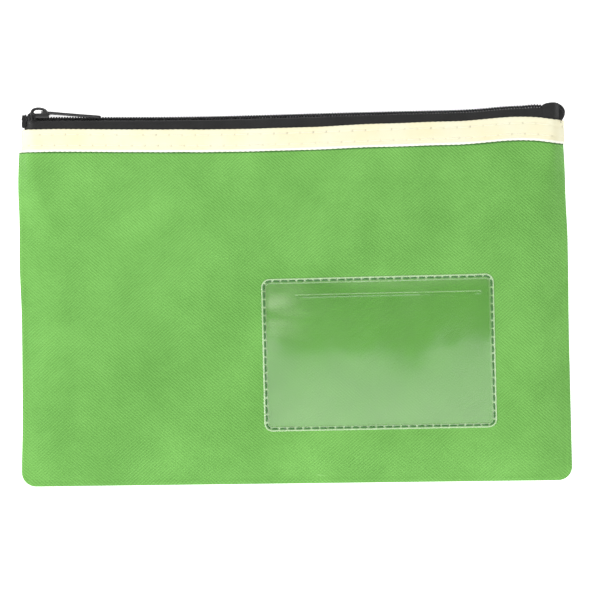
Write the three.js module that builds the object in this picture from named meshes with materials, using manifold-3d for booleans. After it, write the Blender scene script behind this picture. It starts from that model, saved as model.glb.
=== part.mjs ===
// Cash deposit bag: a flat zipped pouch of coated green fabric with a cream binding at its mouth and a
// clear card window sewn on its front. Millimetres. The bag lies on its back: +X along the zip, +Y towards
// the zip, +Z out of the front. X and Y are measured from the middle of the whole object, Z from the table.
import * as THREE from 'three';
import { mergeVertices } from 'three/addons/utils/BufferGeometryUtils.js';
import Module from 'manifold-3d';

const wasm = await Module();
wasm.setup();

// ---- driving dimensions -------------------------------------------------------------------------------
const BAG_WIDTH_AT_BOTTOM = 235;
const BAG_WIDTH_AT_ZIP = 232.5;
const BODY_HEIGHT = 143.5;          // bottom edge to the lower edge of the binding
const BINDING_HEIGHT = 10;
const ZIP_SHOWING = 5.1;            // upper edge of the binding to the top of the coils
const CORNER_RADIUS = 6;

const FABRIC = 0.6;                 // thickness of the panels
const TAPE = 0.5;                   // thickness of the zip tape
const BINDING = 0.5;                // thickness of the cream binding
const LAYER_GAP = 0.1;              // air between layers that lie on each other

const FRONT_LEVEL = 8.6;            // outer face of the front panel where it is flat
const MOUTH_BACK_LEVEL = BINDING + LAYER_GAP; // outer face of the back panel under the back binding
const FRONT_RIM = 2.2;              // outer face of the front panel at its seamed edge
const BODY_RISE = 20;               // the front climbs from its edge to its flat in this distance
const BINDING_RISE = 6;             // the same at the lower edge of the binding
const ZIP_RISE = 4;                 // the same at the zip
const RISE_EASES_FROM = 95;         // height at which the climb begins to steepen

const PANEL_TUCK = 4;               // the panels reach this far under the binding
const TAPE_TUCK = 5.4;              // and the zip tapes this far, from above
const LOWER_STITCHES = 2.8;         // stitch rows, above the lower edge of the binding
const UPPER_STITCHES = 7.4;
const THREAD_WIDTH = 0.4;
const THREAD_HEIGHT = 0.25;

const WINDOW = { width: 100, height: 65, thickness: 0.3, radius: 3.6, left: 103.6, bottom: 23 };
const WINDOW_STITCH_INSET = 1.1;
const SLIT = { left: 14, right: 6, belowTop: 7, width: 0.4 };

const COIL_PITCH = 1.2;
const COIL_HEIGHT = 1.7;            // across the chain's thickness
const COIL_HALF_WIDTH = 2.2;
const COIL_SPINE = 1.2;             // solid outer part that the turns share
const TOOTH_PAST_MIDDLE = 0.7;
const TAPE_EDGE = 1.0;              // inner edge of each tape, from the middle of the chain
const FILLER = { width: 0.5, offset: 1.6, depth: 0.85 };
const COIL_THREAD_HEIGHT = 0.2;

const SLIDER = {
  length: 9, frontHalf: 3.5, rearHalf: 3.0, lowerHalf: 3.0, plate: 0.8, overCoil: 0.45, underTape: 0.3,
  flangeInner: 2.5, flangeOuter: 3.3, flangeDrop: 1.5, neckHalf: 0.7, restCentre: 8.15,
};
const BRIDGE = { length: 7.3, height: 3.0, bar: 1.0, width: 2.0, radius: 2.2 };
const PULL = {
  length: 25.2, thickness: 1.1, halfWidth: 2.6, eyeLength: 5.1, eyeHalf: 1.4, bar: 1.0, endBar: 1.2,
  tilt: THREE.MathUtils.degToRad(3), fromBridgeMiddle: 1.6,
};
const CHAIN_STARTS = 6.85;          // left edge of the bag to the first coil turn
const CHAIN_ENDS = 4.3;             // last coil turn to the right edge of the bag
const RIGHT_FOLD = 8.7;             // length of the folded tape end on the right

// ---- levels worked out from them ----------------------------------------------------------------------
const BINDING_TOP = BODY_HEIGHT + BINDING_HEIGHT;
const ZIP_TOP = BINDING_TOP + ZIP_SHOWING;
const SLIDER_TOP = ZIP_TOP + SLIDER.overCoil + SLIDER.plate;
const OVERALL_HEIGHT = SLIDER_TOP + BRIDGE.height;
const MID_LEVEL = (MOUTH_BACK_LEVEL + FRONT_LEVEL) / 2;     // middle of the chain
const HALF_AT_ZIP = BAG_WIDTH_AT_ZIP / 2;
const TAPE_PLANE = ZIP_TOP - COIL_HEIGHT - 0.05;            // face of the tape that carries the coils
const SLIDER_CENTRE = -HALF_AT_ZIP + SLIDER.restCentre;

const material = (name, color, roughness, metalness = 0, opacity = 1) =>
  new THREE.MeshStandardMaterial({ name, color, roughness, metalness, opacity, transparent: opacity < 1 });
const GREEN = material('green_fabric', 0x83c45f, 0.75);
const CREAM = material('cream_binding', 0xfbf8e2, 0.8);
const CREAM_THREAD = material('cream_thread', 0xf4eed2, 0.7);
const BLACK_TAPE = material('zip_tape', 0x33322f, 0.85);
const BLACK_COIL = material('zip_coil', 0x262626, 0.4);
const BLACK_THREAD = material('black_thread', 0x1d1d1d, 0.7);
const BLACK_METAL = material('slider_metal', 0x1f1f21, 0.35, 0.6);
const CLEAR = material('clear_sheet', 0xd8f0d0, 0.1, 0, 0.35);
const GREEN_THREAD = material('green_thread', 0x3f7d35, 0.7);

const bag = new THREE.Group();
bag.position.y = -OVERALL_HEIGHT / 2;

function add(name, geometry, material) {
  const mesh = new THREE.Mesh(geometry, material);
  mesh.name = name;
  bag.add(mesh);
  return mesh;
}

// ---- solids -------------------------------------------------------------------------------------------
const X = new THREE.Vector3(1, 0, 0);
const Y = new THREE.Vector3(0, 1, 0);
const Z = new THREE.Vector3(0, 0, 1);
const DRAWN_ON = {
  yz: new THREE.Matrix4().makeBasis(Y, Z, X),     // shape points are (y, z), extruded along X
  zx: new THREE.Matrix4().makeBasis(Z, X, Y),     // shape points are (z, x), extruded along Y
  xy: new THREE.Matrix4(),                        // shape points are (x, y), extruded along Z
};

function extruded(plane, shape, from, to, curveSegments = 4) {
  const geometry = new THREE.ExtrudeGeometry(shape, { depth: to - from, bevelEnabled: false, curveSegments });
  return geometry.translate(0, 0, from).applyMatrix4(DRAWN_ON[plane]);
}

const polygon = (points) => new THREE.Shape(points.map(([a, b]) => new THREE.Vector2(a, b)));

function roundedRectangle(a0, b0, a1, b1, radius, Path = THREE.Shape) {
  const path = new Path();
  path.moveTo(a0 + radius, b0);
  path.lineTo(a1 - radius, b0);
  path.absarc(a1 - radius, b0 + radius, radius, -Math.PI / 2, 0);
  path.lineTo(a1, b1 - radius);
  path.absarc(a1 - radius, b1 - radius, radius, 0, Math.PI / 2);
  path.lineTo(a0 + radius, b1);
  path.absarc(a0 + radius, b1 - radius, radius, Math.PI / 2, Math.PI);
  path.lineTo(a0, b0 + radius);
  path.absarc(a0 + radius, b0 + radius, radius, Math.PI, Math.PI * 1.5);
  return path;
}

function toManifold(geometry) {
  const bare = geometry.clone();
  bare.deleteAttribute('normal');
  bare.deleteAttribute('uv');
  const merged = mergeVertices(bare, 1e-4);
  const vertProperties = new Float32Array(merged.attributes.position.array);
  return new wasm.Manifold(new wasm.Mesh({ numProp: 3, vertProperties, triVerts: new Uint32Array(merged.index.array) }));
}

function toGeometry(solid) {
  const { vertProperties, triVerts } = solid.getMesh();
  const geometry = new THREE.BufferGeometry();
  geometry.setAttribute('position', new THREE.BufferAttribute(new Float32Array(vertProperties), 3));
  geometry.setIndex(new THREE.BufferAttribute(new Uint32Array(triVerts), 1));
  return geometry;
}

const joined = (...pieces) => toGeometry(pieces.map(toManifold).reduce((whole, piece) => whole.add(piece)));
const cut = (geometry, tool) => toGeometry(toManifold(geometry).subtract(toManifold(tool)));

// Closes two grids of points, the upper over the lower, into one solid. Rows run along +Y, columns along +X.
function sheetSolid(upper, lower) {
  const rows = upper.length;
  const columns = upper[0].length;
  const under = rows * columns;
  const at = (row, column) => row * columns + column;
  const faces = [];
  const quad = (a, b, c, d) => faces.push(a, b, c, a, c, d);
  for (let r = 0; r < rows - 1; r++) {
    for (let c = 0; c < columns - 1; c++) {
      quad(at(r, c), at(r, c + 1), at(r + 1, c + 1), at(r + 1, c));
      quad(under + at(r, c), under + at(r + 1, c), under + at(r + 1, c + 1), under + at(r, c + 1));
    }
    const last = columns - 1;
    quad(at(r, 0), at(r + 1, 0), under + at(r + 1, 0), under + at(r, 0));
    quad(under + at(r, last), under + at(r + 1, last), at(r + 1, last), at(r, last));
  }
  for (let c = 0; c < columns - 1; c++) {
    const top = rows - 1;
    quad(under + at(0, c), under + at(0, c + 1), at(0, c + 1), at(0, c));
    quad(at(top, c), at(top, c + 1), under + at(top, c + 1), under + at(top, c));
  }
  const geometry = new THREE.BufferGeometry();
  const places = new Float32Array([...upper, ...lower].flat(2));
  geometry.setAttribute('position', new THREE.BufferAttribute(places, 3));
  geometry.setIndex(faces);
  return geometry;
}

// ---- the bag's skin -----------------------------------------------------------------------------------
// Half the bag's width at height y. The lower corners are round.
function halfWidth(y) {
  const straight = BAG_WIDTH_AT_BOTTOM / 2 - (BAG_WIDTH_AT_BOTTOM / 2 - HALF_AT_ZIP) * (y / ZIP_TOP);
  if (y >= CORNER_RADIUS) return straight;
  return straight - CORNER_RADIUS + Math.sqrt(CORNER_RADIUS ** 2 - (CORNER_RADIUS - y) ** 2);
}

function riseWidth(y) {
  if (y > BODY_HEIGHT) return THREE.MathUtils.mapLinear(y, BODY_HEIGHT, ZIP_TOP, BINDING_RISE, ZIP_RISE);
  return THREE.MathUtils.lerp(BODY_RISE, BINDING_RISE, THREE.MathUtils.smoothstep(y, RISE_EASES_FROM, BODY_HEIGHT));
}

const climb = (u) => Math.sin(Math.PI / 2 * THREE.MathUtils.clamp(u, 0, 1));

// Outer face of the front: its height over the point (x, y).
function frontLevel(x, y) {
  const fromSide = (halfWidth(y) - Math.abs(x)) / riseWidth(y);
  return FRONT_RIM + (FRONT_LEVEL - FRONT_RIM) * climb(fromSide) * climb(y / BODY_RISE);
}

const RISE_STEPS = [0, 0.15, 0.35, 0.6, 1];

// One row of points across the front, at height y and lifted off its outer face by lift.
function frontRow(y, lift) {
  const step = 0.05;
  const point = (side, u) => {
    const x = side * (halfWidth(y) - riseWidth(y) * u);
    const level = frontLevel(x, y);
    if (u === 0 || y === 0) return [x, y, level + lift];
    const slopeX = (frontLevel(x + step, y) - frontLevel(x - step, y)) / (2 * step);
    const slopeY = y > BODY_RISE ? 0 : (frontLevel(x, y + step) - frontLevel(x, y - step)) / (2 * step);
    const up = u === 1 ? new THREE.Vector3(0, -slopeY, 1) : new THREE.Vector3(-slopeX, -slopeY, 1);
    const away = up.normalize().multiplyScalar(lift);
    return [x + away.x, y + away.y, level + away.z];
  };
  const left = RISE_STEPS.map((u) => point(-1, u));
  const right = RISE_STEPS.map((u) => point(1, u)).reverse();
  return [...left, ...right];
}

// A layer of the front between two lifts, over the given heights.
function frontLayer(heights, lowLift, highLift) {
  return sheetSolid(heights.map((y) => frontRow(y, highLift)), heights.map((y) => frontRow(y, lowLift)));
}

const BACK_EDGE_STEPS = [0, 0.6, 1.5, 3];       // distances from the edge at which the back curls up

// One row across the back, with its outer face at the given level inside the curled edge.
function backRow(y, level, lift) {
  const curl = (d) => Math.max(level, MOUTH_BACK_LEVEL * (1 - climb(d / BACK_EDGE_STEPS.at(-1))));
  const point = (side, d) => [side * (halfWidth(y) - d), y, curl(y === 0 ? 0 : Math.min(d, 3)) + lift];
  const left = BACK_EDGE_STEPS.map((d) => point(-1, d));
  const right = BACK_EDGE_STEPS.map((d) => point(1, d)).reverse();
  return [...left, ...right];
}

const CORNER_ROWS = [0, 0.4, 1.5, 3.5, CORNER_RADIUS];

function makeFrontPanel() {
  const rows = [...CORNER_ROWS, 10, 15, BODY_RISE, RISE_EASES_FROM, 112, 124, 134, BODY_HEIGHT, BODY_HEIGHT + PANEL_TUCK];
  add('front_panel', frontLayer(rows, -FABRIC, 0), GREEN);
}

function makeBackPanel() {
  const bottomCurl = (y) => MOUTH_BACK_LEVEL * (1 - climb(y / 3.5));
  const rows = CORNER_ROWS.map((y) => [y, bottomCurl(y)]);
  const stepDown = BODY_HEIGHT - 4;             // the back steps up here, to pass over the back binding
  rows.push([stepDown, 0], [BODY_HEIGHT - 1, MOUTH_BACK_LEVEL], [BODY_HEIGHT + PANEL_TUCK, MOUTH_BACK_LEVEL]);
  const layer = (lift) => rows.map(([y, level]) => backRow(y, level, lift));
  add('back_panel', sheetSolid(layer(FABRIC), layer(0)), GREEN);
}

// The thread that joins the two panels down both sides and along the bottom, inside the turned edge.
function makeSeamThread() {
  const inset = 1.3;
  const level = FRONT_RIM - FABRIC - THREAD_HEIGHT - LAYER_GAP;
  const path = (distance) => {
    const heights = [BODY_HEIGHT + PANEL_TUCK, CORNER_RADIUS];
    const radius = CORNER_RADIUS - distance;
    const points = heights.map((y) => [halfWidth(y) - distance, y]);
    for (const turn of [0.25, 0.5, 0.75, 1]) {
      const angle = turn * Math.PI / 2;
      const centre = halfWidth(CORNER_RADIUS) - CORNER_RADIUS;
      points.push([centre + radius * Math.cos(angle), CORNER_RADIUS - radius * Math.sin(angle)]);
    }
    return [...points, ...points.toReversed().map(([x, y]) => [-x, y])];
  };
  const ribbon = polygon([...path(inset), ...path(inset + THREAD_WIDTH).toReversed()]);
  add('side_and_bottom_seam_thread', extruded('xy', ribbon, level, level + THREAD_HEIGHT), GREEN_THREAD);
}

// ---- binding and its stitch rows ----------------------------------------------------------------------
const STITCH_ROWS = { lower: BODY_HEIGHT + LOWER_STITCHES, upper: BODY_HEIGHT + UPPER_STITCHES };
const GROOVE_HALF = THREAD_WIDTH / 2 + 0.1;
const GROOVE_WALL = 0.04;                       // the groove's walls lean by this much
const GROOVE_DEPTH = 0.32;

// Heights across the binding, each with how deep its outer face is sunk there for the stitches.
function bindingHeights() {
  const list = [[BODY_HEIGHT, 0]];
  for (const y of Object.values(STITCH_ROWS)) {
    list.push([y - GROOVE_HALF - GROOVE_WALL, 0], [y - GROOVE_HALF, GROOVE_DEPTH]);
    list.push([y + GROOVE_HALF, GROOVE_DEPTH], [y + GROOVE_HALF + GROOVE_WALL, 0]);
  }
  return [...list, [BINDING_TOP, 0]];
}

function makeBindings() {
  const heights = bindingHeights();
  const outer = heights.map(([y, sunk]) => frontRow(y, LAYER_GAP + BINDING - sunk));
  add('front_binding', sheetSolid(outer, heights.map(([y]) => frontRow(y, LAYER_GAP))), CREAM);
  const flat = (y, level) => [[-halfWidth(y), y, level], [halfWidth(y), y, level]];
  const lower = heights.map(([y, sunk]) => flat(y, sunk));
  add('back_binding', sheetSolid(heights.map(([y]) => flat(y, BINDING)), lower), CREAM);
}

function makeBindingStitches() {
  const lift = LAYER_GAP + BINDING - GROOVE_DEPTH + 0.04;
  for (const [row, y] of Object.entries(STITCH_ROWS)) {
    const heights = [y - THREAD_WIDTH / 2, y + THREAD_WIDTH / 2];
    add(`front_binding_${row}_stitches`, frontLayer(heights, lift, lift + THREAD_HEIGHT), CREAM_THREAD);
    const back = polygon([[heights[0], 0.03], [heights[1], 0.03], [heights[1], 0.03 + THREAD_HEIGHT], [heights[0], 0.03 + THREAD_HEIGHT]]);
    const half = halfWidth(y) - 1;
    add(`back_binding_${row}_stitches`, extruded('yz', back, -half, half), CREAM_THREAD);
  }
}

// ---- zip ----------------------------------------------------------------------------------------------
// Each tape lies against its panel, bends round at the top and carries its coil on the bent part.
function makeTapes() {
  const bottom = BODY_HEIGHT + BINDING_HEIGHT - TAPE_TUCK;
  const wallTop = ZIP_TOP - 3;
  const bend = 0.7;
  const halfRun = HALF_AT_ZIP - ZIP_RISE - 0.25;
  const section = (side) => {
    const outside = MID_LEVEL + side * (FRONT_LEVEL - MID_LEVEL);
    const inside = outside - side * TAPE;
    const edge = MID_LEVEL + side * TAPE_EDGE;
    return polygon([
      [wallTop - 1, outside], [TAPE_PLANE - bend, outside],
      [TAPE_PLANE - bend * 0.3, outside - side * bend * 0.3], [TAPE_PLANE, outside - side * bend],
      [TAPE_PLANE, edge], [TAPE_PLANE - TAPE, edge],
      [TAPE_PLANE - TAPE, inside - side * 0.3], [TAPE_PLANE - TAPE - 0.3, inside], [wallTop - 1, inside],
    ]);
  };
  const heights = [bottom, BINDING_TOP, wallTop];
  const flat = (lift) => heights.map((y) => backRow(y, MOUTH_BACK_LEVEL, lift));
  const walls = { 1: frontLayer(heights, -TAPE, 0), [-1]: sheetSolid(flat(TAPE), flat(0)) };
  for (const [name, side] of [['front_zip_tape', 1], ['back_zip_tape', -1]]) {
    add(name, joined(walls[side], extruded('yz', section(side), -halfRun, halfRun)), BLACK_TAPE);
  }
}

// The coils mesh: each turn of one side fills the space between two turns of the other.
function makeCoils() {
  const from = -HALF_AT_ZIP + CHAIN_STARTS;
  const to = HALF_AT_ZIP - CHAIN_ENDS;
  const turns = Math.floor((to - from) / COIL_PITCH) - 1;
  for (const [name, side, shift] of [['front', 1, 0.25], ['back', -1, 0.75]]) {
    const across = (distance) => MID_LEVEL + side * distance;
    const root = COIL_HALF_WIDTH - COIL_SPINE;
    const points = [[across(COIL_HALF_WIDTH), to], [across(COIL_HALF_WIDTH), from], [across(root), from]];
    for (let turn = 0; turn < turns; turn++) {
      const x = from + (turn + shift) * COIL_PITCH + 0.1;
      points.push([across(root), x - 0.28], [across(-TOOTH_PAST_MIDDLE), x - 0.2]);
      points.push([across(-TOOTH_PAST_MIDDLE), x + 0.2], [across(root), x + 0.28]);
    }
    points.push([across(root), to]);
    const comb = extruded('zx', polygon(points), ZIP_TOP - COIL_HEIGHT, ZIP_TOP);
    const cordRound = (radius, start, end) => {
      const hole = new THREE.Shape().absarc(ZIP_TOP - FILLER.depth, across(FILLER.offset), radius, 0, Math.PI * 2);
      return extruded('yz', hole, start, end, 5);
    };
    const channel = cordRound(FILLER.width / 2 + 0.1, from - 1, to + 1);
    add(`${name}_coil`, cut(comb, channel), BLACK_COIL);
    add(`${name}_filler_cord`, cordRound(FILLER.width / 2, from, to), BLACK_THREAD);
    const low = ZIP_TOP + 0.02;
    const high = low + COIL_THREAD_HEIGHT;
    const sides = [across(FILLER.offset - 0.2), across(FILLER.offset + 0.2)];
    const thread = polygon([[low, sides[0]], [high, sides[0]], [high, sides[1]], [low, sides[1]]]);
    add(`${name}_coil_sewing_thread`, extruded('yz', thread, from, to), BLACK_THREAD);
  }
}

// Points (z, x) of a plug that fills the narrowing end of the mouth, for x measured from the bag's edge.
function endPlug(side, from, to) {
  const steps = 4;
  const low = MOUTH_BACK_LEVEL + TAPE + 0.3;
  const points = [[low, side * (HALF_AT_ZIP - from)], [low, side * (HALF_AT_ZIP - to)]];
  for (let step = 0; step <= steps; step++) {
    const inset = THREE.MathUtils.lerp(to, from, step / steps);
    const x = HALF_AT_ZIP - inset;
    const clear = TAPE + 1.0;
    points.push([frontLevel(x + 0.3, ZIP_TOP - ZIP_SHOWING - 2) - clear, side * x]);
  }
  return polygon(points);
}

// The ends of the two tapes, folded in and sewn down. They stop the slider. The right one is folded back
// over the end of the chain.
function makeTapeEnds() {
  const bottom = ZIP_TOP - 7;
  add('left_tape_end', extruded('zx', endPlug(-1, 0.75, 2.75), bottom, ZIP_TOP - 0.3), BLACK_TAPE);
  const crown = 0.9;
  const cover = roundedRectangle(
    MID_LEVEL - 3.3, HALF_AT_ZIP - RIGHT_FOLD, MID_LEVEL + 3.3, HALF_AT_ZIP - 1.2, 1.2);
  const end = extruded('zx', endPlug(1, 0.75, 3.8), bottom, ZIP_TOP + crown - 0.1);
  const over = extruded('zx', cover, ZIP_TOP + 0.3, ZIP_TOP + crown);
  add('right_tape_end', joined(end, over), BLACK_TAPE);
}

// ---- slider and pull ----------------------------------------------------------------------------------
function sliderPlate(leftHalf, rightHalf, low, high) {
  const left = SLIDER_CENTRE - SLIDER.length / 2;
  const right = SLIDER_CENTRE + SLIDER.length / 2;
  const corner = 0.9;
  const half = [
    [leftHalf - corner, left], [leftHalf, left + corner], [leftHalf, SLIDER_CENTRE - 1],
    [rightHalf, SLIDER_CENTRE + 1], [rightHalf, right - corner], [rightHalf - corner, right],
  ];
  const outline = [...half, ...half.toReversed().map(([z, x]) => [-z, x])];
  return extruded('zx', polygon(outline.map(([z, x]) => [MID_LEVEL + z, x])), low, high);
}

// Two plates joined by a wedge that parts the coils, with flanges that hold the coils in, and a bridge.
function makeSlider() {
  const topFace = ZIP_TOP + SLIDER.overCoil;
  const lowFace = TAPE_PLANE - TAPE - SLIDER.underTape;
  const top = sliderPlate(SLIDER.frontHalf, SLIDER.rearHalf + 0.3, topFace, SLIDER_TOP);
  const low = sliderPlate(SLIDER.lowerHalf, SLIDER.lowerHalf - 0.3, lowFace - SLIDER.plate, lowFace);
  const flanges = [-1, 1].map((side) => {
    const edges = [SLIDER.flangeInner, SLIDER.flangeOuter].map((z) => MID_LEVEL + side * z);
    const ends = [SLIDER_CENTRE - SLIDER.length / 2 + 1, SLIDER_CENTRE + SLIDER.length / 2 - 1];
    const outline = polygon([[edges[0], ends[0]], [edges[1], ends[0]], [edges[1], ends[1]], [edges[0], ends[1]]]);
    return extruded('zx', outline, ZIP_TOP - SLIDER.flangeDrop, topFace + 0.3);
  });
  const neckStart = SLIDER_CENTRE - SLIDER.length / 2 + 0.2;
  const neck = polygon([
    [MID_LEVEL, neckStart], [MID_LEVEL + SLIDER.neckHalf, neckStart + 0.9],
    [MID_LEVEL + SLIDER.neckHalf, neckStart + 1.8], [MID_LEVEL + 0.2, neckStart + 2.8],
    [MID_LEVEL - 0.2, neckStart + 2.8], [MID_LEVEL - SLIDER.neckHalf, neckStart + 1.8],
    [MID_LEVEL - SLIDER.neckHalf, neckStart + 0.9],
  ]);
  const wedge = extruded('zx', neck, lowFace - 0.3, topFace + 0.3);
  add('slider_body', joined(top, low, ...flanges, wedge, makeBridge()), BLACK_METAL);
}

function makeBridge() {
  const { length, height, bar, width, radius } = BRIDGE;
  const arch = (halfLength, top, r) => {
    const path = new THREE.Shape();
    path.moveTo(SLIDER_CENTRE + halfLength, SLIDER_TOP - 0.3);
    path.lineTo(SLIDER_CENTRE + halfLength, top - r);
    path.absarc(SLIDER_CENTRE + halfLength - r, top - r, r, 0, Math.PI / 2);
    path.lineTo(SLIDER_CENTRE - halfLength + r, top);
    path.absarc(SLIDER_CENTRE - halfLength + r, top - r, r, Math.PI / 2, Math.PI);
    path.lineTo(SLIDER_CENTRE - halfLength, SLIDER_TOP - 0.3);
    return extruded('xy', path, MID_LEVEL - width / 2, MID_LEVEL + width / 2);
  };
  const outer = arch(length / 2, SLIDER_TOP + height, radius);
  const inner = arch(length / 2 - bar, SLIDER_TOP + height - bar, radius - bar).translate(0, 0, -width / 2);
  return cut(outer, joined(inner, inner.clone().translate(0, 0, width)));
}

// A flat tab. Its eye goes round the bridge, and the bar that closes the eye turns under the bridge.
function makePull() {
  const { length, thickness, halfWidth: half, eyeLength, eyeHalf, bar, endBar } = PULL;
  const start = -bar / 2;
  const neck = bar / 2 + eyeLength + endBar;
  const outline = new THREE.Shape();
  outline.moveTo(half - 0.6, start);
  outline.lineTo(half, start + 0.6);
  outline.lineTo(half, neck - 0.6);
  outline.lineTo(half - 0.7, neck + 1.4);
  outline.lineTo(half, length - half * 2.2);
  outline.lineTo(half, length - half);
  outline.absarc(0, length - half, half, 0, Math.PI);
  outline.lineTo(-half, length - half * 2.2);
  outline.lineTo(-half + 0.7, neck + 1.4);
  outline.lineTo(-half, neck - 0.6);
  outline.lineTo(-half, start + 0.6);
  outline.lineTo(-half + 0.6, start);
  outline.holes.push(roundedRectangle(-eyeHalf, bar / 2, eyeHalf, bar / 2 + eyeLength, 0.4, THREE.Path));
  const pull = add('pull_tab', extruded('zx', outline, -thickness / 2, thickness / 2, 8), BLACK_METAL);
  const pivotAbovePlate = (BRIDGE.height - BRIDGE.bar) / 2;
  pull.position.set(SLIDER_CENTRE + PULL.fromBridgeMiddle, SLIDER_TOP + pivotAbovePlate, MID_LEVEL);
  pull.rotation.z = -PULL.tilt;
}

// ---- card window --------------------------------------------------------------------------------------
function makeWindow() {
  const left = -BAG_WIDTH_AT_BOTTOM / 2 + WINDOW.left;
  const right = left + WINDOW.width;
  const top = WINDOW.bottom + WINDOW.height;
  const level = FRONT_LEVEL + LAYER_GAP;
  const sheet = roundedRectangle(left, WINDOW.bottom, right, top, WINDOW.radius);
  const slitY = top - SLIT.belowTop;
  const slit = roundedRectangle(
    left + SLIT.left, slitY - SLIT.width / 2, right - SLIT.right, slitY + SLIT.width / 2, 0.15, THREE.Path);
  sheet.holes.push(slit);
  add('window_sheet', extruded('xy', sheet, level, level + WINDOW.thickness), CLEAR);
  const inset = WINDOW_STITCH_INSET;
  const ring = (d, Path) => roundedRectangle(
    left + d, WINDOW.bottom + d, right - d, top - d, WINDOW.radius - d, Path);
  const thread = ring(inset - THREAD_WIDTH / 2, THREE.Shape);
  thread.holes.push(ring(inset + THREAD_WIDTH / 2, THREE.Path));
  const low = level + WINDOW.thickness + 0.02;
  add('window_stitches', extruded('xy', thread, low, low + THREAD_HEIGHT), GREEN_THREAD);
}

makeFrontPanel();
makeBackPanel();
makeSeamThread();
makeWindow();
makeBindings();
makeBindingStitches();
makeTapes();
makeCoils();
makeTapeEnds();
makeSlider();
makePull();

export default bag;
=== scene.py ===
"""Cash deposit bag: the finished look of the pouch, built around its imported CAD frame.

Lengths inside this script are in millimetres in the frame's own axes: +X along the zip, +Y towards the
zip, +Z out of the front. Meshes are turned into metres when they are made.
"""
import math

import bmesh
import bpy
import numpy as np
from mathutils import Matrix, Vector, noise


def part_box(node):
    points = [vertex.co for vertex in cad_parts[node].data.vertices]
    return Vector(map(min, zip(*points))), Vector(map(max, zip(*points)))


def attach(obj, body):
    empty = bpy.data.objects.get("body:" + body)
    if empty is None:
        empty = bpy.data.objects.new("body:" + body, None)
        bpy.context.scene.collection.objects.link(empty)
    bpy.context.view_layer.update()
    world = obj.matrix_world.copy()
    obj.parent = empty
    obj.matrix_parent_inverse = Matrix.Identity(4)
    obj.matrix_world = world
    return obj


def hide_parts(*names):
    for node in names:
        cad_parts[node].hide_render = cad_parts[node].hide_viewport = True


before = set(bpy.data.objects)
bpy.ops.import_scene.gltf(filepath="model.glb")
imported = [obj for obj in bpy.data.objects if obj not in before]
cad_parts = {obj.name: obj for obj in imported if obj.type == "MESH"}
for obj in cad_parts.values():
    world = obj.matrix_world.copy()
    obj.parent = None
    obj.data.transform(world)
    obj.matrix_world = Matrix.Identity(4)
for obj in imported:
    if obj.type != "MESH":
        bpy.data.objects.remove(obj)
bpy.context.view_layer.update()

MM = 0.001

# ---- places and sizes read from the frame ----


def box_mm(node):
    low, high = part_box(node)
    return np.array(low) / MM, np.array(high) / MM


PANEL_LOW, PANEL_HIGH = box_mm("front_panel")
BINDING_LOW, BINDING_HIGH = box_mm("front_binding")
TAPE_LOW, _ = box_mm("front_zip_tape")
COIL_LOW, COIL_HIGH = box_mm("front_coil")
BACK_COIL_LOW, _ = box_mm("back_coil")
WINDOW_LOW, WINDOW_HIGH = box_mm("window_sheet")
FOLD_LOW, _ = box_mm("right_tape_end")
SLIDER_LOW, SLIDER_HIGH = box_mm("slider_body")
PULL_LOW, PULL_HIGH = box_mm("pull_tab")

BOTTOM = PANEL_LOW[1]
PANEL_TOP = PANEL_HIGH[1]
BINDING_BOTTOM, BINDING_TOP = BINDING_LOW[1], BINDING_HIGH[1]
ZIP_TOP = COIL_HIGH[1]
FRONT_LEVEL = PANEL_HIGH[2]                      # outer face of the front where it is flat
MID_LEVEL = (COIL_HIGH[2] + BACK_COIL_LOW[2]) / 2
MOUTH_BACK_LEVEL = 2 * MID_LEVEL - FRONT_LEVEL   # outer face of the back under its binding
CORNER_RADIUS = 6.0
HALF_BOTTOM = PANEL_HIGH[0]
HALF_TOP = BINDING_HIGH[0]
TAPER = (HALF_BOTTOM - HALF_TOP) / (BINDING_BOTTOM - BOTTOM - CORNER_RADIUS)

# ---- the cloth's own sizes ----
FABRIC = 0.45
TAPE = 0.45
BINDING = 0.5
SEAM_LEVEL = 1.4             # height of the seam line that closes the sides and the bottom
EDGE_ROLL = 0.55             # radius of the turned edge beside the seam
BODY_RISE, BINDING_RISE, ZIP_RISE = 20.0, 6.0, 4.0
RISE_EASES_FROM = BOTTOM + 95.0
BINDING_STITCH = 5.6         # stitch length in the binding
WINDOW_STITCH = 3.5          # stitch length round the window
COIL_PITCH = 1.2
WINDOW_TURN = math.radians(0.4)
OFF_TABLE = 0.02             # the lowest cloth clears the table by this much

# ---- how far the handled cloth has moved ----
ZIP_SAG, ZIP_LIFT, ZIP_END_DROP = 1.6, 1.35, 0.5
BOTTOM_DROP, BOTTOM_SKEW = 0.85, 0.5


def smoothstep(low, high, value):
    t = np.clip((value - low) / (high - low), 0.0, 1.0)
    return t * t * (3 - 2 * t)


def bump(value, middle, width):
    return np.exp(-(((value - middle) / width) ** 2))


def cloud(x, y, size, seed):
    """Smooth noise between -1 and 1 whose lumps are about size across."""
    flat_x, flat_y = np.ravel(x) / size, np.ravel(y) / size
    values = [noise.noise(Vector((a, b, seed))) for a, b in zip(flat_x, flat_y)]
    return np.array(values).reshape(np.shape(x))


# ---- how the bag lies ----


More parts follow.
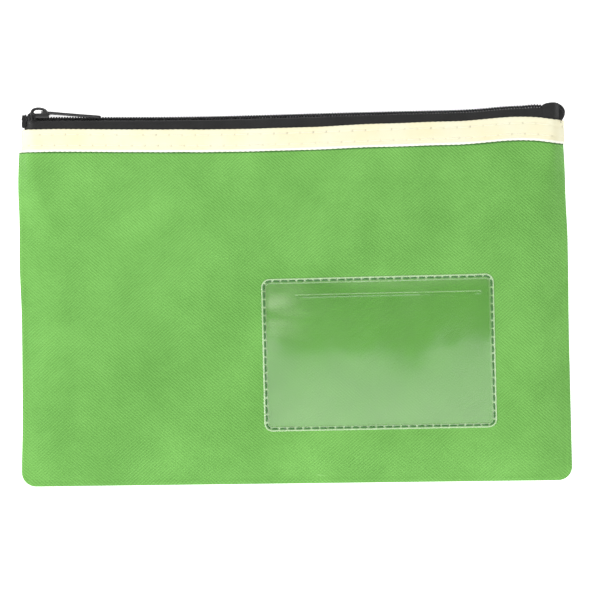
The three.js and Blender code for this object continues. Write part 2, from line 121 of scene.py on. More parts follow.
def settled(points):
    """Moves flat points to where the handled bag lies: its zip sags left of the middle and lifts at the
    right, and the bottom edge is a little askew."""
    x, y = points[..., 0], points[..., 1]
    zip_line = -ZIP_SAG * bump(x, -25, 62) + ZIP_LIFT * bump(x, 97, 15) - ZIP_END_DROP * smoothstep(104, 114, x)
    bottom_line = -BOTTOM_DROP - BOTTOM_SKEW * x / HALF_BOTTOM
    share = smoothstep(-20, BINDING_BOTTOM, y)
    moved = points.copy()
    moved[..., 1] += zip_line * share + bottom_line * (1 - share)
    below_mouth = bump(y, BINDING_BOTTOM - 14, 17)
    left_slack = 1.1 * below_mouth + 0.75 * bump(y, 15, 16) + 0.25 + 0.6 * bump(y, BOTTOM + 6, 14)
    right_slack = 0.7 * below_mouth + 0.8 * (1 - smoothstep(22, 45, y)) + 0.4 * bump(y, 16, 22)
    slack = np.where(x < 0, left_slack, right_slack)
    bound = smoothstep(BINDING_BOTTOM - 0.1, BINDING_BOTTOM + 0.5, y)
    drawn_in = np.where(x < 0, -0.85, 0.3)
    taller = 0.7 * bump(x, -8, 50) + 0.75 * smoothstep(97, 106, x)
    moved[..., 1] += taller * smoothstep(BINDING_TOP + 1, ZIP_TOP - 1, y)
    outwards = slack * (1 - bound) + drawn_in * bound
    moved[..., 0] += outwards * np.sign(x) * smoothstep(80, HALF_TOP, np.abs(x))
    return moved


def half_width(y):
    """Half of the bag's width at y, before its cloth settles."""
    return HALF_BOTTOM + TAPER * (BOTTOM + CORNER_RADIUS - y)


def rise_width(y):
    """How far in from its edge the front reaches its full height, at y."""
    in_body = BODY_RISE + (BINDING_RISE - BODY_RISE) * smoothstep(RISE_EASES_FROM, BINDING_BOTTOM, y)
    share = np.clip((y - BINDING_BOTTOM) / (ZIP_TOP - BINDING_BOTTOM), 0, 1)
    return np.where(y > BINDING_BOTTOM, BINDING_RISE + (ZIP_RISE - BINDING_RISE) * share, in_body)


def climb(share):
    """A rounded rise from 0 to 1."""
    return np.sin(np.pi / 2 * np.clip(share, 0, 1))


EDGE_TOP = SEAM_LEVEL + EDGE_ROLL * (1 + math.sin(math.radians(60)))
EDGE_INSET = EDGE_ROLL * (1 - math.cos(math.radians(60)))
WINDOW_CENTRE = (WINDOW_LOW[:2] + WINDOW_HIGH[:2]) / 2
WINDOW_HALF = (WINDOW_HIGH[:2] - WINDOW_LOW[:2]) / 2


def under_window(x, y):
    """1 under the card window, falling to 0 a little way outside it."""
    beyond = np.maximum(np.abs(x - WINDOW_CENTRE[0]) - WINDOW_HALF[0],
                        np.abs(y - WINDOW_CENTRE[1]) - WINDOW_HALF[1])
    return 1 - smoothstep(-2, 12, beyond)


def front_level(x, y):
    """Height of the front's outer face over (x, y), inside the turned edge."""
    side = (half_width(y) - EDGE_INSET - np.abs(x)) / rise_width(y)
    end = (y - BOTTOM - EDGE_INSET) / BODY_RISE
    level = EDGE_TOP + (FRONT_LEVEL - EDGE_TOP) * climb(side) * climb(end)
    inset = np.minimum(half_width(y) - np.abs(x), y - BOTTOM)
    ridge = 0.16 * bump(inset, 1.3, 0.6) - 0.14 * bump(inset, 2.6, 0.7)
    soft = smoothstep(1, 14, inset) * (1 - smoothstep(BINDING_BOTTOM - 14, BINDING_BOTTOM, y))
    soft = soft * (1 - 0.8 * under_window(x, y))
    rolling = 0.6 * cloud(x, y, 55, 3.1) + 0.22 * cloud(x, y, 19, 7.7)
    pucker = 0.12 * cloud(x, y, 5.5, 1.3) * bump(inset, 2.0, 2.5)
    return level + ridge + soft * rolling + pucker


def back_level(x, y):
    """Height of the back's outer face, which lies on the table below the binding."""
    inset = np.minimum(half_width(y) - EDGE_INSET - np.abs(x), y - BOTTOM - EDGE_INSET)
    curl = (2 * SEAM_LEVEL - EDGE_TOP) * np.exp(-np.maximum(inset, 0) / 1.0)
    step = MOUTH_BACK_LEVEL * smoothstep(BINDING_BOTTOM - 4.5, BINDING_BOTTOM - 0.5, y)
    lift = 0.12 * (1 + cloud(x, y, 40, 9.2)) * smoothstep(2, 20, inset)
    lift *= 1 - smoothstep(BINDING_BOTTOM - 10, BINDING_BOTTOM - 4, y)
    return np.maximum(curl, step) + lift + OFF_TABLE


# ---- meshes ----


def make_piece(name, points, faces, material, slot, body="bag", smooth=True):
    """A mesh of points in millimetres, riding on its body."""
    mesh = bpy.data.meshes.new(name)
    mesh.from_pydata([tuple(p) for p in np.asarray(points) * MM], [], [tuple(f) for f in faces])
    mesh.materials.append(material)
    mesh.polygons.foreach_set("use_smooth", [smooth] * len(mesh.polygons))
    mesh.update()
    piece = bpy.data.objects.new(name, mesh)
    bpy.context.scene.collection.objects.link(piece)
    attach(piece, body)
    return piece


WELD_DISTANCE = 0.001


def paint(piece, name, values):
    """Stores one number per point, which the piece's material reads by its name."""
    piece.data.attributes.new(name, "FLOAT", "POINT").data.foreach_set("value", np.ravel(values))


def weld(piece):
    """Joins points that lie on one another."""
    mesh = bmesh.new()
    mesh.from_mesh(piece.data)
    bmesh.ops.remove_doubles(mesh, verts=mesh.verts, dist=WELD_DISTANCE * MM)
    mesh.to_mesh(piece.data)
    mesh.free()


def grid_faces(rows, columns, start=0, flip=False):
    """Quads between the points of a grid whose first point has the index start."""
    r, c = np.meshgrid(np.arange(rows - 1), np.arange(columns - 1), indexing="ij")
    a = start + r * columns + c
    quads = np.stack([a, a + 1, a + columns + 1, a + columns], -1).reshape(-1, 4)
    return quads[:, ::-1] if flip else quads


def thicken(piece, thickness, offset=-1):
    solid = piece.modifiers.new("thickness", "SOLIDIFY")
    solid.thickness = thickness * MM
    solid.offset = offset


def closed_sheet(upper, lower):
    """Points and faces of a solid between two grids; rows run along +Y and columns along +X."""
    rows, columns = upper.shape[:2]
    under = rows * columns
    points = np.concatenate([upper.reshape(-1, 3), lower.reshape(-1, 3)])
    faces = [grid_faces(rows, columns), grid_faces(rows, columns, under, flip=True)]
    index = np.arange(under).reshape(rows, columns)
    rim = np.concatenate([index[0, :], index[1:, -1], index[-1, -2::-1], index[-2:0:-1, 0]])
    ahead = np.roll(rim, -1)
    faces.append(np.stack([rim, rim + under, ahead + under, ahead], -1))
    return points, np.concatenate(faces)


def tube(path, radius, sides=6, squash=1.0):
    """Points and faces of a closed round tube along an open path. radius may be one per point."""
    path = np.asarray(path, float)
    radius = np.broadcast_to(radius, len(path))
    along = np.gradient(path, axis=0)
    along /= np.linalg.norm(along, axis=1)[:, None]
    normal = np.cross(along[0], (0.0, 0.0, 1.0))
    if np.linalg.norm(normal) < 0.1:
        normal = np.cross(along[0], (0.0, 1.0, 0.0))
    points = []
    for here, direction, r in zip(path, along, radius):
        normal = normal - direction * np.dot(normal, direction)
        normal /= np.linalg.norm(normal)
        other = np.cross(direction, normal)
        for k in range(sides):
            angle = 2 * math.pi * k / sides
            points.append(here + r * (math.cos(angle) * normal + squash * math.sin(angle) * other))
    faces = []
    for i in range(len(path) - 1):
        for k in range(sides):
            a, b = i * sides + k, i * sides + (k + 1) % sides
            faces.append((a, b, b + sides, a + sides))
    last = (len(path) - 1) * sides
    faces.append(tuple(range(sides))[::-1])
    faces.append(tuple(last + k for k in range(sides)))
    return np.array(points), faces


def joined(parts):
    """Puts several (points, faces) together."""
    points, faces, start = [], [], 0
    for some_points, some_faces in parts:
        points.append(some_points)
        faces += [tuple(int(v) + start for v in face) for face in some_faces]
        start += len(some_points)
    return np.concatenate(points), faces


# ---- materials ----


class Look:
    """A material being built: nodes are added by short calls that return their output socket."""

    def __init__(self, name):
        self.material = bpy.data.materials.new(name)
        self.material.use_nodes = True
        self.tree = self.material.node_tree
        self.shader = self.tree.nodes["Principled BSDF"]
        self.output = self.tree.nodes["Material Output"]
        self.place = self.tree.nodes.new("ShaderNodeTexCoord").outputs["Object"]

    def node(self, kind, inputs=(), **settings):
        node = self.tree.nodes.new(kind)
        for key, value in settings.items():
            setattr(node, key, value)
        for key, value in dict(inputs).items():
            self.put(node.inputs[key], value)
        return node

    def put(self, socket, value):
        if isinstance(value, bpy.types.NodeSocket):
            self.tree.links.new(value, socket)
        else:
            socket.default_value = value

    def math(self, operation, a, b=0.0, c=0.0, clamp=False):
        inputs = {0: a, 1: b, 2: c}
        return self.node("ShaderNodeMath", inputs, operation=operation, use_clamp=clamp).outputs[0]

    def product(self, a, b, clamp=False):
        return self.math("MULTIPLY", a, b, clamp=clamp)

    def scaled(self, value, by, plus=0.0, clamp=False):
        return self.math("MULTIPLY_ADD", value, by, plus, clamp)

    def painted(self, name):
        """The number that paint stored at each point."""
        return self.node("ShaderNodeAttribute", attribute_name=name).outputs["Fac"]

    def noise(self, size_mm, detail=3.0, roughness=0.5, place=None):
        inputs = {"Vector": place or self.place, "Scale": 1 / (size_mm * MM), "Detail": detail,
                  "Roughness": roughness}
        return self.node("ShaderNodeTexNoise", inputs).outputs["Fac"]

    def stretched(self, x, y, z, turn):
        inputs = {"Vector": self.place, "Scale": (x, y, z), "Rotation": (0, 0, turn)}
        return self.node("ShaderNodeMapping", inputs).outputs[0]

    def waves(self, direction, pitch_mm):
        """Straight ridges, from -1 to 1, with the given pitch along a direction."""
        unit = Vector(direction).normalized() * (2 * math.pi / (pitch_mm * MM))
        dot = self.node("ShaderNodeVectorMath", {0: self.place, 1: unit}, operation="DOT_PRODUCT")
        return self.math("SINE", dot.outputs["Value"])

    def ramp(self, value, low, high):
        inputs = {"Value": value, "From Min": low, "From Max": high}
        return self.node("ShaderNodeMapRange", inputs, clamp=True).outputs[0]

    def mix(self, share, a, b):
        return self.node("ShaderNodeMix", {0: share, 6: a, 7: b}, data_type="RGBA").outputs[2]

    def relief(self, height, depth_mm, strength):
        inputs = {"Height": height, "Distance": depth_mm * MM, "Strength": strength}
        return self.node("ShaderNodeBump", inputs).outputs[0]

    def finish(self, colour, roughness, normal=None, **plain):
        self.put(self.shader.inputs["Base Color"], colour)
        self.put(self.shader.inputs["Roughness"], roughness)
        if normal is not None:
            self.put(self.shader.inputs["Normal"], normal)
        for key, value in plain.items():
            self.shader.inputs[key.replace("_", " ")].default_value = value
        return self.material


def colour(red, green, blue):
    """A linear colour from its 8-bit display values."""
    def linear(value):
        share = value / 255
        return share / 12.92 if share <= 0.04045 else ((share + 0.055) / 1.055) ** 2.4
    return (linear(red), linear(green), linear(blue), 1.0)


def green_cloth():
    """Non-woven fabric, embossed all over with a fine diagonal lattice, with a painted shadow line just under the
    binding.
    """
    look = Look("green_cloth")
    falling = look.waves((1, 1.15, 0), 1.07)
    rising = look.waves((1, -1.15, 0), 1.07)
    turned = look.ramp(look.noise(26, 1), 0.44, 0.6)
    rising = look.product(rising, look.scaled(turned, 0.8, 0.25))
    falling = look.product(falling, look.scaled(turned, -0.55, 1.0))
    calm = look.painted("calm")
    lattice = look.product(look.math("ADD", rising, falling), look.scaled(calm, -0.85, 1.0))
    fibres = look.noise(0.5, 4, 0.7)
    mottle = look.noise(22, 4, 0.6)
    patches = look.noise(70, 2, 0.5)
    tone = look.scaled(lattice, 0.13, look.product(look.ramp(mottle, 0.3, 0.75), 0.3))
    tone = look.scaled(fibres, 0.5, tone)
    tone = look.scaled(look.ramp(patches, 0.35, 0.7), 0.15, tone, clamp=True)
    base = look.mix(tone, colour(83, 142, 56), colour(131, 196, 98))
    # painted shadow: a thin dark line on the cloth just under the binding's lower edge
    binding_shadow = look.painted("binding_shadow")
    base = look.mix(binding_shadow, base, colour(40, 78, 36))
    wisps = look.noise(9, 6, 0.7, look.stretched(1, 3.2, 1, math.radians(35)))
    scuffs = look.product(look.ramp(wisps, 0.66, 0.74), look.ramp(look.noise(38, 1), 0.52, 0.66))
    base = look.mix(look.product(scuffs, 0.5), base, colour(168, 222, 140))
    height = look.scaled(fibres, 0.6, lattice)
    normal = look.relief(height, 0.09, 0.9)
    roughness = look.scaled(fibres, 0.2, 0.55)
    return look.finish(base, roughness, normal, Sheen_Weight=0.04, Sheen_Roughness=0.5, Specular_IOR_Level=0.25)


def cream_strip():
    """Smooth binding, cross-ribbed very finely, a little yellower in places, with a painted highlight along its
    folded lower edge and painted shade in its needle holes.
    """
    look = Look("cream_strip")
    ribs = look.waves((1, 0, 0), 0.55)
    grain = look.noise(0.6, 3, 0.6)
    tint = look.ramp(look.noise(14, 3), 0.35, 0.7)
    base = look.mix(tint, colour(227, 225, 199), colour(228, 221, 185))
    soil = look.product(look.ramp(look.noise(5, 5, 0.7), 0.6, 0.8), 0.25)
    base = look.mix(soil, base, colour(224, 216, 186))
    # painted highlight: whiter along the folded lower edge
    hem_highlight = look.painted("hem_highlight")
    base = look.mix(hem_highlight, base, colour(246, 246, 238))
    # painted shade: darker in the needle holes
    pit_shade = look.painted("pit_shade")
    base = look.mix(pit_shade, base, colour(120, 108, 92))
    height = look.scaled(grain, 0.6, look.product(ribs, 0.3))
    return look.finish(base, look.scaled(grain, 0.2, 0.6), look.relief(height, 0.04, 0.5),
                       Sheen_Weight=0.1, Specular_IOR_Level=0.3)


THREAD_TWIST = 0.45


def twisted_thread(name, dark, light):
    look = Look(name)
    twist = look.waves((1, 1, 0.6), THREAD_TWIST)
    fuzz = look.noise(0.3, 4, 0.7)
    share = look.scaled(twist, 0.25, fuzz, clamp=True)
    height = look.scaled(fuzz, 0.4, twist)
    return look.finish(look.mix(share, dark, light), look.scaled(fuzz, 0.2, 0.5),
                       look.relief(height, 0.05, 0.7), Sheen_Weight=0.2)


def woven_tape():
    """Black polyester tape, woven in a fine herringbone."""
    look = Look("woven_tape")
    warp = look.waves((0, 1, 0.35), 0.62)
    weft = look.waves((1, 0.25, 0), 0.5)
    weave = look.product(warp, weft)
    lint = look.noise(0.8, 5, 0.75)
    shade = look.ramp(look.noise(9, 3), 0.3, 0.75)
    share = look.scaled(weave, 0.36, look.scaled(lint, 0.55, look.product(shade, 0.3)), clamp=True)
    base = look.mix(share, colour(12, 12, 12), colour(44, 44, 44))
    height = look.scaled(lint, 0.4, weave)
    return look.finish(base, look.scaled(lint, 0.2, 0.65), look.relief(height, 0.08, 0.8),
                       Sheen_Weight=0.16, Sheen_Roughness=0.5, Specular_IOR_Level=0.3)


def nylon():
    look = Look("coil_nylon")
    streak = look.noise(1.2, 3, 0.6)
    base = look.mix(streak, colour(19, 19, 20), colour(42, 42, 44))
    return look.finish(base, look.scaled(streak, 0.25, 0.4), look.relief(streak, 0.02, 0.5),
                       Specular_IOR_Level=0.3)


def black_enamel():
    """Enamelled die casting: glossy, with orange peel and some rubbed places."""
    look = Look("black_enamel")
    peel = look.noise(0.9, 3, 0.5)
    rubbed = look.ramp(look.noise(2.4, 5, 0.75), 0.66, 0.74)
    base = look.mix(look.product(rubbed, 0.45), colour(20, 20, 21), colour(104, 102, 100))
    roughness = look.scaled(rubbed, 0.2, look.scaled(peel, 0.15, 0.24))
    return look.finish(base, roughness, look.relief(peel, 0.03, 0.5), Coat_Weight=0.2, Coat_Roughness=0.15)


def clear_sheet():
    """Soft clear plastic: it lets the cloth show through and mirrors lamps; painted highlights lie along its cut
    edge, its stitch line and its slit, and painted reflection haze lies over some patches.
    """
    look = Look("clear_pvc")
    ripple = look.noise(9, 2, 0.45)
    normal = look.relief(ripple, 0.05, 0.18)
    # painted highlights and painted reflection haze, stored at each point by make_window
    painted_light = look.painted("painted_light")
    cling = look.ramp(look.noise(16, 4, 0.6), 0.45, 0.72)
    haze_and_painted_light = look.scaled(cling, 0.02, 0.005)
    haze_and_painted_light = look.math("ADD", haze_and_painted_light, painted_light, clamp=True)
    shade = look.painted("shade")
    gloss = look.node("ShaderNodeBsdfPrincipled", {
        "Base Color": colour(208, 240, 190), "Roughness": 0.1, "IOR": 1.54, "Normal": normal,
        "Specular IOR Level": 0.5})
    mirror = look.node("ShaderNodeBsdfGlossy", {
        "Color": (0.87, 0.87, 0.87, 1), "Roughness": 0.055, "Normal": normal})
    tint = look.mix(shade, (0.845, 0.923, 0.734, 1), (0.48, 0.58, 0.45, 1))
    through = look.node("ShaderNodeBsdfTransparent", {"Color": tint})
    fresnel = look.node("ShaderNodeFresnel", {"IOR": 1.54, "Normal": normal})
    inside = look.node("ShaderNodeNewGeometry").outputs["Backfacing"]
    outer = look.product(fresnel.outputs[0], look.scaled(inside, -2.0, 2.0), clamp=True)
    clear = look.node("ShaderNodeMixShader", {0: outer, 1: through.outputs[0], 2: mirror.outputs[0]})
    both = look.node("ShaderNodeMixShader", {0: haze_and_painted_light, 1: clear.outputs[0], 2: gloss.outputs[0]})
    look.tree.nodes.remove(look.shader)
    look.put(look.output.inputs["Surface"], both.outputs[0])
    return look.material


GREEN = green_cloth()
CREAM = cream_strip()
CREAM_THREAD = twisted_thread("cream_thread", colour(236, 231, 206), colour(246, 243, 222))
GREEN_THREAD = twisted_thread("green_thread", colour(34, 84, 30), colour(74, 140, 62))
BLACK_THREAD = twisted_thread("black_thread", colour(26, 26, 26), colour(66, 66, 66))
BLACK_TAPE = woven_tape()
NYLON = nylon()
ENAMEL = black_enamel()
CLEAR = clear_sheet()

# ---- panels ----

RING_INSETS = [EDGE_INSET, 0.6, 1.0, 1.4, 1.9, 2.5, 3.2, 4.0]
ROLL_ANGLES = [-80, -50, -20, 10, 40]
SIDE_POINTS, BOTTOM_POINTS, ARC_POINTS = 130, 200, 4
UNDER_BINDING = 2.5           # the fine columns reach this far below the binding
HEM = 1.5                     # cloth turned in at each edge


def outline(inset):
    """The panel's left side, bottom and right side at an inset from its edge, as three lists of (x, y)
    that meet half way round each corner."""
    radius = CORNER_RADIUS - inset
    fine_end = BINDING_BOTTOM - UNDER_BINDING
    fine = np.arange(PANEL_TOP, fine_end, -0.4)
    y = np.concatenate([fine, np.linspace(fine_end, BOTTOM + CORNER_RADIUS, SIDE_POINTS)])
    side = np.stack([half_width(y) - inset, y], -1)
    centre = np.array([half_width(BOTTOM + CORNER_RADIUS) - CORNER_RADIUS, BOTTOM + CORNER_RADIUS])
    turn = np.radians(np.linspace(0, 90, 2 * ARC_POINTS + 1))
    arc = centre + radius * np.stack([np.cos(turn), -np.sin(turn)], -1)
    right = np.concatenate([side, arc[1:ARC_POINTS + 1]])
    half = np.linspace(-centre[0], centre[0], BOTTOM_POINTS)
    straight = np.stack([half, np.full(BOTTOM_POINTS, BOTTOM + inset)], -1)
    corner = arc[ARC_POINTS:-1][::-1]
    mirrored = (corner * (-1, 1))[::-1]
    bottom = np.concatenate([mirrored, straight, corner])
    return right * (-1, 1), bottom, right


def edge_loop(inset):
    """The whole line round the sides and the bottom at an inset from the edge."""
    left, bottom, right = outline(inset)
    return np.concatenate([left, bottom[1:-1], right[::-1]])


def coons(left, bottom, right, top):
    """Fills four boundary curves with a smooth grid; rows go from the top down."""
    v = np.linspace(0, 1, len(left))[:, None, None]
    u = np.linspace(0, 1, len(bottom))[None, :, None]
    ruled = (1 - u) * left[:, None] + u * right[:, None] + (1 - v) * top[None] + v * bottom[None]
    corners = ((1 - u) * (1 - v) * top[0] + u * (1 - v) * top[-1] + (1 - u) * v * bottom[0]
               + u * v * bottom[-1])
    return ruled - corners


def make_panel(name, side, level, replaced):
    """One panel: a rolled edge round its sides and bottom, and the field inside it."""
    rings = []
    for angle in ROLL_ANGLES:
        turn = math.radians(angle)
        flat = edge_loop(EDGE_ROLL * (1 - math.cos(turn)))
        height = SEAM_LEVEL + side * EDGE_ROLL * (1 + math.sin(turn))
        rings.append(np.column_stack([flat, np.full(len(flat), height)]))
    for inset in RING_INSETS:
        flat = edge_loop(inset)
        rings.append(np.column_stack([flat, level(flat[:, 0], flat[:, 1])]))
    rings = np.array(rings)
    left, bottom, right = outline(RING_INSETS[-1])
    share = (bottom[:, 0] - bottom[0, 0]) / (bottom[-1, 0] - bottom[0, 0])
    top = left[0] + share[:, None] * (right[0] - left[0])
    field = coons(left, bottom, right, top)
    field = np.dstack([field, level(field[..., 0], field[..., 1])])
    flip = side < 0
    faces = [grid_faces(*rings.shape[:2], flip=flip)]
    faces.append(grid_faces(*field.shape[:2], rings.shape[0] * rings.shape[1], flip=not flip))
    flat = np.concatenate([rings.reshape(-1, 3), field.reshape(-1, 3)])
    piece = make_piece(name, settled(flat), np.concatenate(faces), GREEN, "green_fabric")
    # painted shadow along the cloth just under the binding's lower edge
    paint(piece, "binding_shadow", 0.75 * smoothstep(BINDING_BOTTOM - 0.75, BINDING_BOTTOM - 0.35, flat[:, 1]))
    paint(piece, "calm", under_window(flat[:, 0], flat[:, 1]) > 0.95 if side > 0 else np.zeros(len(flat)))
    weld(piece)
    thicken(piece, FABRIC)
    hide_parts(*replaced)
    height = (PANEL_TOP - BOTTOM + EDGE_ROLL + HEM) * MM


# ---- layers at the mouth ----


def mouth_columns(spacing):
    """The insets of the columns near each end of a layer, and how far the others are from the middle."""
    edge = [0.3, 0.7, 1.2, 1.8, 2.5, 3.3, 4.2, 5.2, 6.4]
    half = HALF_TOP - edge[-1]
    count = int(half / spacing)
    inner = np.linspace(0, half, count + 1)[1:-1]
    return np.array(edge), inner


def mouth_row(side, y, lift, edge, inner):
    """Points across the mouth at height y, lifted outwards off the panels' outer face. side is 1 for the
    front and -1 for the back."""
    width = float(half_width(y))
    turn = np.radians(ROLL_ANGLES)
    roll_x = width - EDGE_ROLL * (1 - np.cos(turn))
    roll_z = SEAM_LEVEL + side * EDGE_ROLL * (1 + np.sin(turn))
    across = width - edge
    if side > 0:
        level = front_arch(across, y)
    else:
        level = np.full(len(across), MOUTH_BACK_LEVEL) - 0.25 * np.exp(-edge / 0.8)
    x = np.concatenate([roll_x, across, inner[::-1] * (width - edge[-1]) / (HALF_TOP - edge[-1])])
    flat = FRONT_LEVEL if side > 0 else MOUTH_BACK_LEVEL
    z = np.concatenate([roll_z, level, np.full(len(inner), flat)])
    x = np.concatenate([-x, [0.0], x[::-1]])
    z = np.concatenate([z, [flat], z[::-1]])
    slope_x, slope_z = np.gradient(x), np.gradient(z)
    length = np.hypot(slope_x, slope_z)
    out_x, out_z = -side * lift * slope_z / length, side * lift * slope_x / length
    return np.stack([x + out_x, np.full(len(x), y), z + out_z], -1)


def front_arch(x, y):
    """Height of the front's outer face at the mouth, without its soft waves."""
    side = (half_width(y) - EDGE_INSET - np.abs(x)) / rise_width(y)
    return EDGE_TOP + (FRONT_LEVEL - EDGE_TOP) * climb(side)


STITCH_BOXES = {row: box_mm(f"front_binding_{row}_stitches") for row in ("lower", "upper")}
STITCH_ROWS = {row: (low[1] + high[1]) / 2 for row, (low, high) in STITCH_BOXES.items()}
FIRST_HOLE = -HALF_TOP + 3.4
HOLES = np.arange(FIRST_HOLE, HALF_TOP - 2.5, BINDING_STITCH)
HOLE_SHIFT = {"lower": 0.0, "upper": 0.84}     # in stitches
PIT_LENGTH, PIT_WIDTH = 0.42, 0.32
LAYER_GAP = 0.06              # between the binding and the cloth under it


def make_binding(name, side, replaced):
    edge, inner = mouth_columns(0.4)
    heights = np.linspace(BINDING_BOTTOM, BINDING_TOP, 29)
    outer, under, pit_shades, lips = [], [], [], []
    for y in heights:
        low = mouth_row(side, y, LAYER_GAP, edge, inner)
        high = mouth_row(side, y, LAYER_GAP + BINDING, edge, inner)
        x = low[:, 0]
        dip = np.zeros(len(x))
        pit_shade = np.zeros(len(x))
        for row, stitch_y in STITCH_ROWS.items():
            holes = HOLES + HOLE_SHIFT[row] * BINDING_STITCH
            away = np.abs(x[:, None] - holes[None]).min(1)
            close = np.hypot(away / PIT_LENGTH, (y - stitch_y) / PIT_WIDTH)
            dip += 0.10 * bump(y, stitch_y, 0.45) + 0.3 * np.exp(-close**2)
            # painted shade in the needle holes, stronger in the upper row and uneven from hole to hole
            pit_shade_spread = 0.5 + 1.0 * cloud(x, np.full(len(x), stitch_y), 4, side)
            pit_shade = np.maximum(pit_shade, (0.7 if row == "upper" else 0.5) * pit_shade_spread * np.exp(-close**2))
        fold = 0.14 * bump(y, BINDING_BOTTOM + 0.55, 0.4) - 0.08 * bump(y, BINDING_BOTTOM + 1.35, 0.35)
        soft = 0.05 * cloud(x, np.full(len(x), y), 4, 2.2 + side)
        share = (BINDING - dip + fold + soft) / BINDING
        high = low + (high - low) * share[:, None]
        scallop = 0.16 * (np.abs(np.sin(np.pi * x / 2.2)) - 0.6)
        wander = 0.18 * cloud(x, np.full(len(x), side * 9.0), 12, 5.5)
        near_low = bump(y, BINDING_BOTTOM, 0.6) * (wander - scallop)
        near_top = bump(y, BINDING_TOP, 0.6) * (scallop + wander - 0.35 * (1 - smoothstep(0, 60, x)))
        for points in (low, high):
            points[:, 1] += near_low + near_top
        if side < 0:
            high[:, 2] = np.maximum(high[:, 2], OFF_TABLE)
            low[:, 2] = np.maximum(low[:, 2], 0.2)
        outer.append(high)
        under.append(low)
        pit_shades.append(np.clip(pit_shade, 0, 1))
        # painted highlight along the binding's folded lower edge
        lips.append(np.full(len(x), 0.8 * (1 - smoothstep(BINDING_BOTTOM + 0.8, BINDING_BOTTOM + 1.15, y))))
    outer, under = np.array(outer), np.array(under)
    upper, lower = (outer, under) if side > 0 else (under, outer)
    piece = make_piece(name, *closed_sheet(settled(upper), settled(lower)), CREAM, "cream_binding")
    pit_shades, lips = np.array(pit_shades).ravel(), np.array(lips).ravel()
    paint(piece, "pit_shade", np.concatenate([pit_shades, 0 * pit_shades] if side > 0 else [0 * pit_shades, pit_shades]))
    paint(piece, "hem_highlight", np.concatenate([lips, lips]))
    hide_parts(*replaced)


def surface_point(side, x, y, lift):
    """A point at (x, y), lifted off the mouth's outer face."""
    level = front_arch(x, y) if side > 0 else MOUTH_BACK_LEVEL
    step = 0.05
    slope = (front_arch(x + step, y) - front_arch(x - step, y)) / (2 * step) if side > 0 else 0.0
    length = math.hypot(1, slope)
    return np.array([x - side * lift * slope / length, y, level + side * lift / length])


def make_binding_stitches(name, side, row, replaced):
    """A row of separate stitches, each diving into a needle hole at both ends."""
    y = STITCH_ROWS[row]
    holes = HOLES + HOLE_SHIFT[row] * BINDING_STITCH
    holes = holes[np.abs(holes) < HALF_TOP - 1.5]
    parts = []
    for start, end in zip(holes, holes[1:]):
        path = []
        for share in (0, 0.06, 0.15, 0.35, 0.65, 0.85, 0.94, 1):
            x = start + 0.12 + share * (end - start - 0.24)
            dive = 0.42 * (2 * share - 1) ** 8
            sway = 0.05 * math.sin(7.3 * start + 3 * share)
            path.append(surface_point(side, x, y + sway, BINDING - (0.01 if side > 0 else 0.12) - dive))
        parts.append(tube(settled(np.array(path)), 0.17, 7))
    piece = make_piece(name, *joined(parts), CREAM_THREAD, "cream_thread")
    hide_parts(*replaced)


# ---- zip ----

TAPE_PLANE = COIL_LOW[1] - 0.05       # the tape's face under the coils
RIGHT_RUN = HALF_TOP - 3.4            # the mouth is full height up to here
CHAIN_END = HALF_TOP - 8.4            # the chain ends inside the folded tape end
TAPE_BEND = 0.7                       # radius at which a tape turns over towards its coil
TAPE_WALL_DROP = 0.75                 # its upright part stops this far under the coils
TAPE_SLACK = slice(6, 12)             # the rows of the upright part that flutter


def zip_end(x):
    """How far the zip's top falls away at x, at the two ends of the mouth."""
    left = np.clip((2.0 - HALF_TOP - x) / 2.0, 0, 1)
    right = np.clip((x - RIGHT_RUN + 0.6) / 3.6, 0, 1)
    return 1.0 * (1 - np.sqrt(1 - 0.98 * left**2)) + 2.2 * (1 - np.sqrt(1 - 0.98 * right**2))


def opened(x):
    """1 where the chain is open behind the slider, and 0 where it is closed."""
    return 1 - smoothstep(SLIDER_LOW[0] + 1.2, SLIDER_LOW[0] + 3.2, x)


def make_tape(name, side, replaced):
    """A tape that stands against its panel, bends over at the top and ends under its coil."""
    edge, inner = mouth_columns(0.7)
    wall = np.linspace(TAPE_LOW[1], TAPE_PLANE - TAPE_WALL_DROP, 12)
    rows = [mouth_row(side, y, 0.0, edge, inner) for y in wall]
    last = rows[-1]
    middle_gap = 1.0
    reach = np.abs(last[:, 2] - MID_LEVEL) - middle_gap
    reach = np.where(side * (last[:, 2] - MID_LEVEL) > 0, np.maximum(reach, 0.4), 0.4)
    fall = zip_end(last[:, 0])
    open_part = opened(last[:, 0])
    radius = np.minimum(TAPE_BEND, reach * 0.6)
    shoulder = 0.35 * smoothstep(0, 60, last[:, 0]) * (side > 0)
    for turn in np.radians([25, 50, 75, 90]):
        row = last.copy()
        row[:, 1] += TAPE_WALL_DROP - TAPE_BEND + TAPE_BEND * math.sin(turn) + shoulder * math.sin(2 * turn)
        row[:, 2] -= side * radius * (1 - math.cos(turn)) * (1 - open_part)
        rows.append(row)
    bent = rows[-1]
    for share in (0.25, 0.5, 0.75, 1):
        row = bent.copy()
        row[:, 2] -= side * share * np.maximum(reach - radius, 0.05) * (1 - open_part)
        row[:, 1] += share * 2.2 * open_part
        rows.append(row)
    rows = np.array(rows)
    rows[..., 0] *= 1 - 0.7 / HALF_TOP
    height = (rows[..., 1] - wall[6]) / (TAPE_PLANE - wall[6])
    rows[..., 1] -= np.clip(height, 0, 1) * fall[None]
    flutter = 0.12 * cloud(rows[..., 0], rows[..., 1], 9, 4.4 + side)
    rows[TAPE_SLACK, :, 2] += side * flutter[TAPE_SLACK]
    faces = grid_faces(*rows.shape[:2], flip=side < 0)
    piece = make_piece(name, settled(rows).reshape(-1, 3), faces, BLACK_TAPE, "zip_tape")
    thicken(piece, TAPE)
    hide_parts(*replaced)


